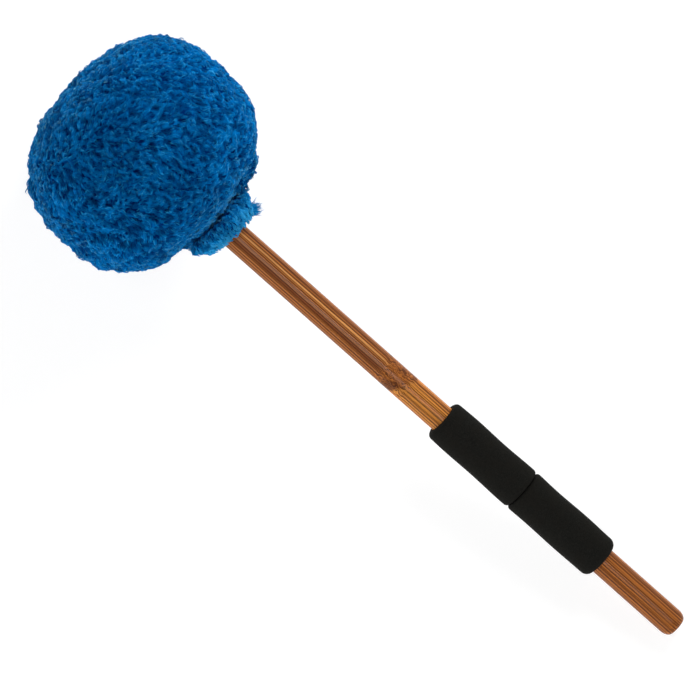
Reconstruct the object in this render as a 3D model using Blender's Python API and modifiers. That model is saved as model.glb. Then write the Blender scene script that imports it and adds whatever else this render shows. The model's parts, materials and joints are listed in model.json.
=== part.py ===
"""Gong mallet, lying on a table as it is set down between strokes.

A turned bamboo handle carries two foam grips and, on a tenon, a wooden core with a steel
weight. Felt and soft foam build the core up to a blunt drum, and a fleece cover is drawn over
it, gathered into the neck and bound with waxed cord, so that its hem flares into a pleated
collar. Metres, +Z up. The origin is the middle of the table patch that the mallet covers.

Every piece is shaped about the handle's own axis, local +Z, with the butt at zero, and hangs
from one empty that leans that axis down until the head and the butt touch the table.
"""

import math

import bmesh
import bpy

MM = 0.001
GAP = 0.3 * MM

# Handle: lengths run along its axis from the butt
HANDLE_RADIUS = 7.95 * MM
BUTT_FLAT_RADIUS = 4.6 * MM
BUTT_ROUND_LENGTH = 5.6 * MM
SHOULDER_AT = 372.0 * MM
TENON_RADIUS = 6.35 * MM
TENON_TOP = 426.0 * MM
PILOT_DEPTH = 38.0 * MM

# Grips
REAR_GRIP_START = 57.2 * MM
GRIP_LENGTH = 60.2 * MM
GRIP_RADII = (12.9 * MM, 12.75 * MM, 12.65 * MM, 12.35 * MM)
REAR_END_ROUND = 4.5 * MM
GROOVE_ROUND = 2.0 * MM
FRONT_END_ROUND = 2.8 * MM

# Head, over the pile of the cover
HEAD_RADIUS = 66.3 * MM
HEAD_WIDEST_AT = 400.0 * MM
CROWN_HEIGHT = 57.8 * MM
UNDERSIDE_DEPTH = 50.2 * MM
CROWN_POWER = 2.6
UNDERSIDE_POWER = 2.55
REST_DENT = 0.5 * MM
STEEPEST_LEAN = math.radians(30)
LEAN_HALVINGS = 50

# Neck: the cord's groove and the collar of gathered hem below the head
COVER_THICKNESS = 6.4 * MM
GATHER_RADIUS = 26.0 * MM
GROOVE_RADIUS = 11.6 * MM
GROOVE_TOP = 351.8 * MM
GROOVE_FLOOR = 344.0 * MM
COLLAR_PIVOT_RADIUS = 13.5 * MM
CREST_CENTRE = (17.9 * MM, 345.6 * MM)
CREST_ROUND = 4.3 * MM
CREST_FROM = 200
HEM_CENTRE = (15.3 * MM, 337.8 * MM)
HEM_ROUND = 2.8 * MM
HEM_DISH = 1.6 * MM
HEM_FROM = -15
HEM_TO = -120

# Pleats of the gathered fleece, the widest on top as the mallet lies
PLEATS = 6
TOP_PLEAT_WIDENING = 0.38
PLEAT_SWELL = 0.55
PLEAT_MEAN = 0.72
FURROW_DEPTH = 1.8 * MM
FURROW_REACH = 50.0 * MM
HEM_SLANT = 1.2 * MM

# Cord that binds the cover to the neck
CORD_RADIUS = 0.7 * MM
CORD_TURNS = 3
CORD_PITCH = 1.85 * MM
CORD_STEPS = 24

# Core, weight and padding
CORE_RADIUS = 26.0 * MM
CORE_HEIGHT = 40.0 * MM
CORE_ROUND = 6.0 * MM
WEIGHT_RADIUS = 25.0 * MM
WEIGHT_HEIGHT = 16.0 * MM
WEIGHT_CHAMFER = 1.0 * MM
WASHER_RADIUS = 9.0 * MM
WASHER_THICKNESS = 1.5 * MM
SCREW_RADIUS = 3.0 * MM
SCREW_LENGTH = 36.0 * MM
SCREW_TIP = 6.0 * MM
SCREW_HEAD_ACROSS = 10.0 * MM
SCREW_HEAD_HEIGHT = 4.0 * MM
FELT_THICKNESS = 5.2 * MM
FELT_DISC_THICKNESS = 7.0 * MM
FELT_ROUND = 1.5 * MM

# Facets around each round piece, and steps along the rounds of their outlines
COVER_SIDES = 60
HANDLE_SIDES = 44
GRIP_SIDES = 40
INNER_SIDES = 36
SMALL_SIDES = 24
HEAD_STEPS = 9
PADDING_STEPS = 7
CREST_STEPS = 8
HEM_STEPS = 4
BUTT_STEPS = 6
RIM_STEPS = 5
CORE_STEPS = 6
BALANCE_STEPS = 60
SMOOTH_BELOW = math.radians(38)
MERGE = 0.00001


# Scene and materials


def clear_scene():
    """Takes away whatever the file held before."""
    for thing in list(bpy.data.objects):
        bpy.data.objects.remove(thing, do_unlink=True)


def new_collection(name):
    """Adds a collection to the scene and returns it."""
    made = bpy.data.collections.new(name)
    bpy.context.scene.collection.children.link(made)
    return made


def finish(name, colour, roughness, metallic=0.0):
    """A plain Principled material of one colour."""
    material = bpy.data.materials.new(name)
    material.use_nodes = True
    shader = material.node_tree.nodes["Principled BSDF"]
    shader.inputs["Base Color"].default_value = (*colour, 1.0)
    shader.inputs["Roughness"].default_value = roughness
    shader.inputs["Metallic"].default_value = metallic
    material.diffuse_color = (*colour, 1.0)
    return material


# Outlines: lists of (radius, height) that run down the outer side


def arc(centre, round_radius, start, end, steps):
    """Points on a round, from one angle to another in degrees, 0 outwards and 90 upwards."""
    points = []
    for step in range(steps + 1):
        angle = math.radians(start + (end - start) * step / steps)
        across = centre[0] + round_radius * math.cos(angle)
        up = centre[1] + round_radius * math.sin(angle)
        points.append((across, up))
    return points


def blunt_quarter(radius, height, power, steps, inner_radius=0.0):
    """A quarter of a superellipse, from its widest point towards the axis, at even angles."""
    last = math.acos((inner_radius / radius) ** (power / 2))
    points = []
    for step in range(steps + 1):
        angle = last * step / steps
        across = radius * max(math.cos(angle), 0.0) ** (2 / power)
        up = height * math.sin(angle) ** (2 / power)
        points.append((across, up))
    points[-1] = (inner_radius, points[-1][1])
    return points


def head_outline(inset, inner_radius, crown_steps, underside_steps):
    """The blunt drum from its crown to its underside, set in evenly from the pile's surface."""
    crown = blunt_quarter(HEAD_RADIUS - inset, CROWN_HEIGHT - inset, CROWN_POWER, crown_steps)
    under = blunt_quarter(
        HEAD_RADIUS - inset, UNDERSIDE_DEPTH - inset, UNDERSIDE_POWER, underside_steps, inner_radius
    )
    upper = [(across, HEAD_WIDEST_AT + up) for across, up in reversed(crown)]
    lower = [(across, HEAD_WIDEST_AT - up) for across, up in under[1:]]
    return upper + lower


def collar_outline():
    """The neck below the head: the cord's groove, the collar's crest and its rolled hem."""
    outline = [
        (GROOVE_RADIUS, GROOVE_TOP),
        (GROOVE_RADIUS, GROOVE_FLOOR),
    ]
    outline += arc(CREST_CENTRE, CREST_ROUND, CREST_FROM, HEM_FROM, CREST_STEPS)
    outline += arc(HEM_CENTRE, HEM_ROUND, HEM_FROM, HEM_TO, HEM_STEPS)
    outline.append((HANDLE_RADIUS, HEM_CENTRE[1] - HEM_ROUND + HEM_DISH))
    outline.append((0.0, HEM_CENTRE[1] - HEM_ROUND + HEM_DISH))
    return outline


def butt_outline():
    """The butt end of the handle, rounded to a small flat."""
    fall = HANDLE_RADIUS - BUTT_FLAT_RADIUS
    points = []
    for across, down in arc((0.0, 0.0), 1.0, 0, -90, BUTT_STEPS):
        points.append((BUTT_FLAT_RADIUS + fall * across, BUTT_ROUND_LENGTH * (1 + down)))
    return points


def tube_outline(inner, outer_low, outer_high, low, high, low_round, high_round):
    """A closed outline of a tube whose two outer rims are rounded."""
    outline = arc((outer_high - high_round, high - high_round), high_round, 90, 0, RIM_STEPS)
    outline += arc((outer_low - low_round, low + low_round), low_round, 0, -90, RIM_STEPS)
    outline.append((inner, low))
    outline.append((inner, high))
    return outline


# Shapes


def own_mesh(piece):
    """Replaces a piece's modifiers by the mesh that they make."""
    bpy.context.view_layer.update()
    graph = bpy.context.evaluated_depsgraph_get()
    made = bpy.data.meshes.new_from_object(piece.evaluated_get(graph))
    piece.modifiers.clear()
    piece.data = made
    return made


def turned(name, outline, sides, closed=False):
    """A piece turned on the handle's axis from its outline."""
    shape = bmesh.new()
    corners = [shape.verts.new((across, 0.0, up)) for across, up in outline]
    for first, second in zip(corners, corners[1:]):
        shape.edges.new((first, second))
    if closed:
        shape.edges.new((corners[-1], corners[0]))
    mesh = bpy.data.meshes.new(name)
    shape.to_mesh(mesh)
    shape.free()
    piece = bpy.data.objects.new(name, mesh)
    bpy.context.scene.collection.objects.link(piece)
    turn = piece.modifiers.new("turn", "SCREW")
    turn.axis = "Z"
    turn.angle = math.tau
    turn.steps = sides
    turn.render_steps = sides
    turn.use_merge_vertices = True
    turn.merge_threshold = MERGE
    own_mesh(piece)
    return piece


def combine(piece, other, operation):
    """Adds an exact Boolean of another solid to a piece."""
    step = piece.modifiers.new(operation.lower(), "BOOLEAN")
    step.operation = operation
    step.solver = "EXACT"
    step.object = other


def set_aside(cutter, cutters):
    """Moves a cutting solid into the cutters' collection and hides it from renders."""
    for home in list(cutter.users_collection):
        home.objects.unlink(cutter)
    cutters.objects.link(cutter)
    cutter.hide_render = True
    cutter.display_type = "WIRE"


def smoothstep(low, high, value):
    """Rises from 0 to 1 between two values, level at both ends."""
    share = min(max((value - low) / (high - low), 0.0), 1.0)
    return share * share * (3 - 2 * share)


def pleat(angle):
    """How full the gathered fleece stands at an angle: 1 on a pleat, 0 in the fold beside it."""
    uneven = angle - TOP_PLEAT_WIDENING * math.sin(angle)
    return abs(math.cos(PLEATS / 2 * uneven))


def gather(mesh):
    """Draws the turned cover into pleats at the neck: furrows above the cord, lobes below it."""
    for corner in mesh.vertices:
        across = math.hypot(corner.co.x, corner.co.y)
        if across < GROOVE_RADIUS + GAP:
            continue
        angle = math.atan2(corner.co.y, corner.co.x)
        if corner.co.z > CREST_CENTRE[1] + CREST_ROUND + GAP:
            near_neck = 1 - smoothstep(GATHER_RADIUS, FURROW_REACH, across)
            near_neck *= smoothstep(COLLAR_PIVOT_RADIUS, GATHER_RADIUS, across)
            below_middle = 1.0 if corner.co.z < HEAD_WIDEST_AT else 0.0
            corner.co.z += FURROW_DEPTH * (1 - pleat(angle)) * near_neck * below_middle
        else:
            swell = 1 + PLEAT_SWELL * (pleat(angle) - PLEAT_MEAN)
            drawn = COLLAR_PIVOT_RADIUS + (across - COLLAR_PIVOT_RADIUS) * max(swell, 0.0)
            scale = drawn / across if across > COLLAR_PIVOT_RADIUS else 1.0
            corner.co.x *= scale
            corner.co.y *= scale
            above_hem = smoothstep(HEM_CENTRE[1], GROOVE_FLOOR, corner.co.z)
            corner.co.z -= HEM_SLANT * math.sin(angle) * (1 - above_hem)


# Pieces


def make_shaft(cutters):
    """Laminated bamboo, turned round, with a tenon and a pilot hole for the screw."""
    outline = [
        (0.0, TENON_TOP),
        (TENON_RADIUS - GAP, TENON_TOP),
        (TENON_RADIUS, TENON_TOP - GAP),
        (TENON_RADIUS, SHOULDER_AT),
        (HANDLE_RADIUS, SHOULDER_AT),
    ]
    outline += butt_outline()
    outline.append((0.0, 0.0))
    shaft = turned("bamboo_shaft", outline, HANDLE_SIDES)
    bottom = TENON_TOP - PILOT_DEPTH
    hole_radius = SCREW_RADIUS + GAP
    hole = [
        (0.0, TENON_TOP + CORE_HEIGHT),
        (hole_radius, TENON_TOP + CORE_HEIGHT),
        (hole_radius, bottom + SCREW_TIP),
        (0.0, bottom),
    ]
    pilot = turned("pilot_hole", hole, SMALL_SIDES)
    combine(shaft, pilot, "DIFFERENCE")
    own_mesh(shaft)
    set_aside(pilot, cutters)
    return shaft


def make_grip(name, low, radii, rounds):
    """A length of foam tube pushed onto the handle, a little thinner towards the head."""
    outline = tube_outline(
        HANDLE_RADIUS + GAP, radii[0], radii[1], low, low + GRIP_LENGTH, rounds[0], rounds[1]
    )
    return turned(name, outline, GRIP_SIDES, closed=True)


def make_core():
    """A turned block on the tenon, seated on the handle's shoulder, rounded underneath."""
    low = SHOULDER_AT + GAP
    high = low + CORE_HEIGHT
    inner = TENON_RADIUS + GAP
    outline = [(inner, high), (CORE_RADIUS, high)]
    outline += arc((CORE_RADIUS - CORE_ROUND, low + CORE_ROUND), CORE_ROUND, 0, -90, CORE_STEPS)
    outline.append((inner, low))
    return turned("wooden_core", outline, INNER_SIDES, closed=True)


def make_weight():
    """A chamfered steel ring on top of the core, round the end of the tenon."""
    low = SHOULDER_AT + CORE_HEIGHT + 2 * GAP
    high = low + WEIGHT_HEIGHT
    inner = TENON_RADIUS + GAP
    outline = [
        (inner, high),
        (WEIGHT_RADIUS - WEIGHT_CHAMFER, high),
        (WEIGHT_RADIUS, high - WEIGHT_CHAMFER),
        (WEIGHT_RADIUS, low + WEIGHT_CHAMFER),
        (WEIGHT_RADIUS - WEIGHT_CHAMFER, low),
        (inner, low),
    ]
    return turned("steel_weight", outline, INNER_SIDES, closed=True)


def stack_top():
    """Height of the weight's upper face, which the washer and the felt lie on."""
    return SHOULDER_AT + CORE_HEIGHT + 2 * GAP + WEIGHT_HEIGHT


def make_washer():
    """A flat washer between the screw's head and the weight."""
    low = stack_top() + GAP
    inner = SCREW_RADIUS + GAP
    outline = [
        (inner, low + WASHER_THICKNESS),
        (WASHER_RADIUS, low + WASHER_THICKNESS),
        (WASHER_RADIUS, low),
        (inner, low),
    ]
    return turned("head_washer", outline, SMALL_SIDES, closed=True)


def make_screw():
    """A hexagon-headed wood screw that pulls the weight and core onto the handle."""
    seat = stack_top() + WASHER_THICKNESS + 2 * GAP
    outline = [
        (0.0, seat + SCREW_HEAD_HEIGHT / 2),
        (SCREW_RADIUS, seat + SCREW_HEAD_HEIGHT / 2),
        (SCREW_RADIUS, seat - SCREW_LENGTH + SCREW_TIP),
        (0.0, seat - SCREW_LENGTH),
    ]
    screw = turned("head_screw", outline, SMALL_SIDES)
    corner_radius = SCREW_HEAD_ACROSS / 2 / math.cos(math.pi / 6)
    shape = bmesh.new()
    bmesh.ops.create_cone(
        shape,
        cap_ends=True,
        segments=6,
        radius1=corner_radius,
        radius2=corner_radius,
        depth=SCREW_HEAD_HEIGHT,
    )
    bmesh.ops.translate(shape, vec=(0.0, 0.0, seat + SCREW_HEAD_HEIGHT / 2), verts=shape.verts)
    mesh = bpy.data.meshes.new("screw_hexagon")
    shape.to_mesh(mesh)
    shape.free()
    hexagon = bpy.data.objects.new("screw_hexagon", mesh)
    bpy.context.scene.collection.objects.link(hexagon)
    combine(screw, hexagon, "UNION")
    own_mesh(screw)
    bpy.data.objects.remove(hexagon, do_unlink=True)
    return screw


def make_felt_band():
    """Felt wound round the core and the weight."""
    inner = CORE_RADIUS + GAP
    outer = inner + FELT_THICKNESS
    low = SHOULDER_AT + CORE_ROUND + 2 * GAP
    outline = tube_outline(inner, outer, outer, low, stack_top(), FELT_ROUND, GAP)
    return turned("felt_band", outline, INNER_SIDES, closed=True)


def make_felt_disc():
    """A thick felt disc over the weight, holed to clear the screw."""
    low = stack_top() + GAP
    outer = CORE_RADIUS + GAP + FELT_THICKNESS
    high = low + FELT_DISC_THICKNESS
    outline = tube_outline(WASHER_RADIUS + GAP, outer, outer, low, high, GAP, FELT_ROUND)
    return turned("felt_disc", outline, INNER_SIDES, closed=True)


def make_padding(cutters):
    """Soft foam that fills the head, hollowed for the felted core and the handle."""
    inset = COVER_THICKNESS + GAP
    outline = head_outline(inset, 0.0, PADDING_STEPS, PADDING_STEPS)
    padding = turned("foam_padding", outline, INNER_SIDES)
    core_room = CORE_RADIUS + FELT_THICKNESS + 2 * GAP
    core_low = SHOULDER_AT + GAP
    round_centre = (CORE_RADIUS - CORE_ROUND, core_low + CORE_ROUND)
    hollow = [
        (0.0, stack_top() + FELT_DISC_THICKNESS + 2 * GAP),
        (core_room, stack_top() + FELT_DISC_THICKNESS + 2 * GAP),
        (core_room, core_low + CORE_ROUND),
    ]
    hollow += arc(round_centre, CORE_ROUND + GAP, 0, -90, CORE_STEPS)
    hollow += [
        (HANDLE_RADIUS + GAP, core_low - GAP),
        (HANDLE_RADIUS + GAP, GROOVE_TOP),
        (0.0, GROOVE_TOP),
    ]
    room = turned("padding_hollow", hollow, INNER_SIDES)
    combine(padding, room, "DIFFERENCE")
    own_mesh(padding)
    set_aside(room, cutters)
    return padding


def make_cover(cutters, table):
    """The fleece cover: a bag over the padding, pleated in at the cord, with a flared collar."""
    outline = head_outline(0.0, GATHER_RADIUS, HEAD_STEPS, HEAD_STEPS)
    cover = turned("fleece_cover", outline + collar_outline(), COVER_SIDES)
    gather(cover.data)
    cavity = head_outline(COVER_THICKNESS, HANDLE_RADIUS + GAP, PADDING_STEPS, PADDING_STEPS)
    cavity.append((HANDLE_RADIUS + GAP, HEM_CENTRE[1] - CREST_ROUND * 2))
    cavity.append((0.0, HEM_CENTRE[1] - CREST_ROUND * 2))
    room = turned("cover_hollow", cavity, INNER_SIDES)
    combine(cover, room, "DIFFERENCE")
    set_aside(room, cutters)
    combine(cover, table, "DIFFERENCE")
    return cover, room


def cord_route():
    """Points of the binding cord: one helix that lies in the groove."""
    lay_radius = GROOVE_RADIUS + GAP + CORD_RADIUS
    middle = (GROOVE_TOP + GROOVE_FLOOR) / 2
    points = []
    for step in range(CORD_TURNS * CORD_STEPS + 1):
        turn = step / CORD_STEPS
        angle = math.tau * turn
        height = middle + CORD_PITCH * (turn - CORD_TURNS / 2)
        points.append((lay_radius * math.cos(angle), lay_radius * math.sin(angle), height))
    return points


def make_cord():
    """Waxed cord wound round the gathered neck."""
    route = cord_route()
    curve = bpy.data.curves.new("neck_cord", "CURVE")
    curve.dimensions = "3D"
    curve.bevel_depth = CORD_RADIUS
    curve.bevel_resolution = 1
    curve.use_fill_caps = True
    line = curve.splines.new("POLY")
    line.points.add(len(route) - 1)
    for knot, place in zip(line.points, route):
        knot.co = (*place, 1.0)
    cord = bpy.data.objects.new("neck_cord", curve)
    bpy.context.scene.collection.objects.link(cord)
    least = min(
        math.dist(first, second)
        for place, first in enumerate(route)
        for second in route[place + CORD_STEPS // 2 :]
    )
    print(f"neck cord: {CORD_TURNS} turns, least gap to itself {(least - 2 * CORD_RADIUS) / MM:.2f} mm")
    return cord


# Placing


def low_side(outline, lean):
    """Lowest height that a turned outline reaches when its axis is leaned from the level."""
    return min(up * math.sin(lean) - across * math.cos(lean) for across, up in outline)


def resting_lean(head, butt):
    """The lean at which the butt and the slightly dented head are equally low."""
    level, steep = 0.0, STEEPEST_LEAN
    for _ in range(LEAN_HALVINGS):
        lean = (level + steep) / 2
        if low_side(head, lean) + REST_DENT < low_side(butt, lean):
            level = lean
        else:
            steep = lean
    return lean


def make_axis(head, butt):
    """The empty that carries every piece, leaned and placed so that the mallet rests at zero."""
    lean = resting_lean(head, butt)
    head_end = min(-up * math.cos(lean) - across * math.sin(lean) for across, up in head)
    butt_end = max(-up * math.cos(lean) + across * math.sin(lean) for across, up in butt)
    axis = bpy.data.objects.new("handle_axis", None)
    bpy.context.scene.collection.objects.link(axis)
    axis.rotation_euler = (0.0, lean - math.pi / 2, 0.0)
    axis.location = (-(head_end + butt_end) / 2, 0.0, -low_side(butt, lean))
    print(f"lean {math.degrees(lean):.2f} degrees, length {(butt_end - head_end) / MM:.1f} mm")
    return axis


def make_table(cutters):
    """A slab below the table's surface, which flattens the fleece where the head rests."""
    bpy.ops.mesh.primitive_cube_add(size=1.0)
    table = bpy.context.active_object
    table.name = "table_slab"
    table.scale = (1.0, 4 * HEAD_RADIUS, HEAD_RADIUS)
    table.location = (0.0, 0.0, -HEAD_RADIUS / 2)
    set_aside(table, cutters)
    return table


def main():
    clear_scene()
    parts = new_collection("gong_mallet")
    cutters = new_collection("cutters")
    head = head_outline(0.0, GATHER_RADIUS, BALANCE_STEPS, BALANCE_STEPS)
    axis = make_axis(head, butt_outline())
    table = make_table(cutters)

    bamboo = finish("bamboo", (0.30, 0.11, 0.03), 0.35)
    foam = finish("grip_foam", (0.012, 0.012, 0.010), 0.9)
    fleece = finish("fleece", (0.004, 0.12, 0.38), 0.95)
    beech = finish("core_wood", (0.55, 0.36, 0.18), 0.6)
    steel = finish("steel", (0.55, 0.55, 0.55), 0.3, 1.0)
    felt = finish("felt", (0.6, 0.58, 0.52), 0.95)
    padding_foam = finish("padding_foam", (0.75, 0.70, 0.50), 0.9)
    waxed_cord = finish("waxed_cord", (0.02, 0.10, 0.30), 0.6)

    front_start = REAR_GRIP_START + GRIP_LENGTH + GAP
    rear_rounds = (REAR_END_ROUND, GROOVE_ROUND)
    front_rounds = (GROOVE_ROUND, FRONT_END_ROUND)
    cover, cover_room = make_cover(cutters, table)
    made = [
        (make_shaft(cutters), bamboo),
        (make_grip("rear_grip", REAR_GRIP_START, GRIP_RADII[:2], rear_rounds), foam),
        (make_grip("front_grip", front_start, GRIP_RADII[2:], front_rounds), foam),
        (make_core(), beech),
        (make_weight(), steel),
        (make_washer(), steel),
        (make_screw(), steel),
        (make_felt_band(), felt),
        (make_felt_disc(), felt),
        (make_padding(cutters), padding_foam),
        (make_cord(), waxed_cord),
        (cover, fleece),
    ]
    cover_room.parent = axis
    for piece, material in made:
        piece.parent = axis
        piece.data.materials.clear()
        piece.data.materials.append(material)
        bpy.context.scene.collection.objects.unlink(piece)
        parts.objects.link(piece)
    own_mesh(cover)
    for piece, _ in made:
        if piece.type == "MESH":
            piece.data.shade_smooth()
            piece.data.set_sharp_from_angle(angle=SMOOTH_BELOW)


main()
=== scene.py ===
# %% [markdown]
# # Dressing a gong mallet
#
# The mallet is a turned bamboo handle with two foam grips and a heavy, padded head. A bag of
# deep-pile fleece is drawn over the head and bound at the neck, so that its hem flares into a
# small collar. The rigid pieces arrive finished from the construction model. This lesson makes
# what is soft or fine: the fleece with its pile, the foam, the felt, the twisted cord, and the
# finish of every surface.

# %% Load the fixed frame
import json
import math

import bpy
import numpy as np
from mathutils import Matrix, Vector, kdtree


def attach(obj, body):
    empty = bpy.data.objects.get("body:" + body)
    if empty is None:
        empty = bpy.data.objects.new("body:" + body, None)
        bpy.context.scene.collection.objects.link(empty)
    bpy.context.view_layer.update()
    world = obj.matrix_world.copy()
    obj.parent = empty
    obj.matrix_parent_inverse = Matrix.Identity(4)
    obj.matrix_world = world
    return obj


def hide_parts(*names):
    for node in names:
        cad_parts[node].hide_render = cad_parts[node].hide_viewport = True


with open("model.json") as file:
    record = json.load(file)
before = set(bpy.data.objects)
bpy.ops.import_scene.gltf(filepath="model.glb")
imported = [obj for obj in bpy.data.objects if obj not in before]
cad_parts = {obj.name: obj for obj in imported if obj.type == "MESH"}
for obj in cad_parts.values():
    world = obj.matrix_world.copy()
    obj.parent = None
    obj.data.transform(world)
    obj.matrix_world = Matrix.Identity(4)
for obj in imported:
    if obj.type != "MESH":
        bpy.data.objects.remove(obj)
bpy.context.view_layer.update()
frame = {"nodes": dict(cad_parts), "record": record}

# %% [markdown]
# ## The mallet's own frame
#
# Everything on a mallet is made about the handle's axis, but the mallet lies on a table with its
# axis leaned a few degrees. Working in the handle's own millimetres keeps the sizes readable:
# x points up out of the table, y sideways, z from the butt to the head. The butt's flat face is
# one of the record's mounts, so its place and direction come from there and not from a copied
# number.

# %% The mallet's own frame
MM = 0.001
BUTT_MOUNT = next(mount for mount in frame["record"]["mounts"] if mount["name"] == "butt_end")
BUTT = Vector(BUTT_MOUNT["pos_m"])
TO_HEAD = -Vector(BUTT_MOUNT["axis"]).normalized()
SIDEWAYS = Vector((0.0, 1.0, 0.0))
UPWARDS = SIDEWAYS.cross(TO_HEAD)
TURN = Matrix((UPWARDS, SIDEWAYS, TO_HEAD)).transposed()
TABLE_CLEARANCE = 0.15 * MM


def placed(points):
    """Points in the mallet's millimetres, moved to their place in metres, none below the table."""
    moved = np.asarray(points) * MM @ np.array(TURN).T + np.array(BUTT)
    moved[..., 2] = np.maximum(moved[..., 2], TABLE_CLEARANCE)
    return moved


print(f"the handle leans {math.degrees(math.asin(TO_HEAD.z)):.2f} degrees")

# %% [markdown]
# ## Camera
#
# The photograph looks straight down and is framed so that the handle runs to the lower right.
# A long lens from high above gives the same nearly parallel view. The camera is turned about its
# own line of sight, which is simpler than turning the mallet.

# %% Camera
VIEW_WIDTH = 0.3899
VIEW_HEIGHT = 8.0
HANDLE_HEIGHT = 0.045
VIEW_CENTRE = (-0.0128, -0.0052)
VIEW_ROLL = math.radians(41.52)
SENSOR = 36.0

camera_data = bpy.data.cameras.new("studio_camera")
camera_data.sensor_width = SENSOR
camera_data.lens = SENSOR * (VIEW_HEIGHT - HANDLE_HEIGHT) / VIEW_WIDTH
camera_data.clip_end = 3 * VIEW_HEIGHT
camera = bpy.data.objects.new("studio_camera", camera_data)
camera.location = (*VIEW_CENTRE, VIEW_HEIGHT)
camera.rotation_euler = (0.0, 0.0, VIEW_ROLL)
bpy.context.scene.collection.objects.link(camera)
bpy.context.scene.camera = camera
print(f"lens {camera_data.lens:.0f} mm at {VIEW_HEIGHT:.0f} m")

# %% [markdown]
# ## Nodes by name
#
# A material here is a handful of nodes. Two small helpers keep the cells short: one adds a node
# and sets its inputs by name, and one starts a material with its shader. Effects that several
# materials share become node groups with named sockets.

# %% Helpers for materials


def add_node(tree, kind, inputs=None, **settings):
    """Adds a node, sets its properties, and fills its inputs with values or links."""
    node = tree.nodes.new(kind)
    for name, value in settings.items():
        setattr(node, name, value)
    for name, value in (inputs or {}).items():
        socket = node.inputs[name]
        if isinstance(value, bpy.types.NodeSocket):
            tree.links.new(value, socket)
        else:
            socket.default_value = value
    return node


def math_node(tree, operation, first, second=0.0):
    """The result of one sum on values or links."""
    node = add_node(tree, "ShaderNodeMath", {0: first, 1: second}, operation=operation)
    return node.outputs[0]


def product(tree, first, second):
    """Two values or links multiplied, which for masks is where both are."""
    return math_node(tree, "MULTIPLY", first, second)


def opposite(tree, mask):
    """1 where a mask is 0, and 0 where it is 1."""
    return math_node(tree, "SUBTRACT", 1.0, mask)


def axes_of(tree, place):
    """The x, y and z of a place."""
    return add_node(tree, "ShaderNodeSeparateXYZ", {"Vector": place}).outputs


def place_at(tree, x, y, z):
    """A place from its x, y and z."""
    return add_node(tree, "ShaderNodeCombineXYZ", {"X": x, "Y": y, "Z": z}).outputs["Vector"]


def noise(tree, place, per_mm, detail, roughness=0.5):
    """Noise of about 0 to 1 at a place, as fine as its number of grains to a millimetre."""
    inputs = {"Vector": place, "Scale": per_mm, "Detail": detail, "Roughness": roughness}
    return add_node(tree, "ShaderNodeTexNoise", inputs).outputs["Fac"]


def dented(tree, height, strength):
    """A normal that a height of up to a millimetre dents."""
    inputs = {"Height": height, "Strength": strength, "Distance": MM}
    return add_node(tree, "ShaderNodeBump", inputs).outputs["Normal"]


def step_up(tree, value, low, high):
    """A mask that rises smoothly from 0 to 1 while a value goes from low to high."""
    inputs = {"Value": value, "From Min": low, "From Max": high}
    node = add_node(tree, "ShaderNodeMapRange", inputs, interpolation_type="SMOOTHSTEP")
    return node.outputs["Result"]


def blend_colours(tree, share, first, second):
    """Two colours mixed by a share from 0 to 1."""
    node = tree.nodes.new("ShaderNodeMix")
    node.data_type = "RGBA"
    for socket, value in ((0, share), (6, first), (7, second)):
        if isinstance(value, bpy.types.NodeSocket):
            tree.links.new(value, node.inputs[socket])
        else:
            node.inputs[socket].default_value = value
    return node.outputs[2]


def rgb(red, green, blue):
    """A colour read off as 0 to 255, as the linear values that a shader takes."""
    shares = [channel / 255 for channel in (red, green, blue)]
    # The sRGB curve: straight at its dark end and a power above it.
    linear = [((share + 0.055) / 1.055) ** 2.4 if share > 0.04 else share / 12.92 for share in shares]
    return (*linear, 1.0)


def new_material(name, roughness, specular=0.5):
    """A material with a Principled shader, and the tree and shader to build on."""
    material = bpy.data.materials.new(name)
    material.use_nodes = True
    tree = material.node_tree
    shader = tree.nodes["Principled BSDF"]
    shader.inputs["Roughness"].default_value = roughness
    shader.inputs["Specular IOR Level"].default_value = specular
    print("material:", name)
    return material, tree, shader


def paint(tree, shader, colour, normal):
    """Links a colour and a normal, both changing over the surface, to a shader."""
    tree.links.new(colour, shader.inputs["Base Color"])
    tree.links.new(normal, shader.inputs["Normal"])


def new_group(name, inputs, outputs):
    """An empty shader node group with named sockets, given as {name: kind or (kind, value)}."""
    group = bpy.data.node_groups.new(name, "ShaderNodeTree")
    for direction, sockets in (("INPUT", inputs), ("OUTPUT", outputs)):
        for socket_name, kind in sockets.items():
            kind, value = kind if isinstance(kind, tuple) else (kind, None)
            socket = group.interface.new_socket(
                socket_name, in_out=direction, socket_type=f"NodeSocket{kind}"
            )
            if value is not None:
                socket.default_value = value
    arriving = group.nodes.new("NodeGroupInput").outputs
    leaving = group.nodes.new("NodeGroupOutput").inputs
    print("node group:", name)
    return group, arriving, leaving


def place_group(tree, group, inputs=None):
    """A copy of a group in a material, with its inputs filled."""
    return add_node(tree, "ShaderNodeGroup", inputs, node_tree=group).outputs


# %% [markdown]
# ## Where a point lies on the mallet
#
# Grain runs along the handle, so its pattern needs the handle's own millimetres too. A Mapping
# node of the Texture kind undoes a placing. It takes the butt's place and the handle's turn, and
# gives back the same x, y and z that the mesh code uses. Every material starts from this group.

# %% Group: millimetres on the mallet
mallet_place, arriving, leaving = new_group(
    "mallet_millimetres", {"Point": "Vector"}, {"Place": "Vector"}
)
placing = {"Location": BUTT, "Rotation": TURN.to_euler(), "Scale": (MM, MM, MM)}
placing["Vector"] = arriving["Point"]
undone = add_node(mallet_place, "ShaderNodeMapping", placing, vector_type="TEXTURE")
mallet_place.links.new(undone.outputs["Vector"], leaving["Place"])


def mallet_point(tree):
    """The place on the mallet, in millimetres, of the point that is shaded."""
    own = add_node(tree, "ShaderNodeTexCoord").outputs["Object"]
    return place_group(tree, mallet_place, {"Point": own})["Place"]


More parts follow.
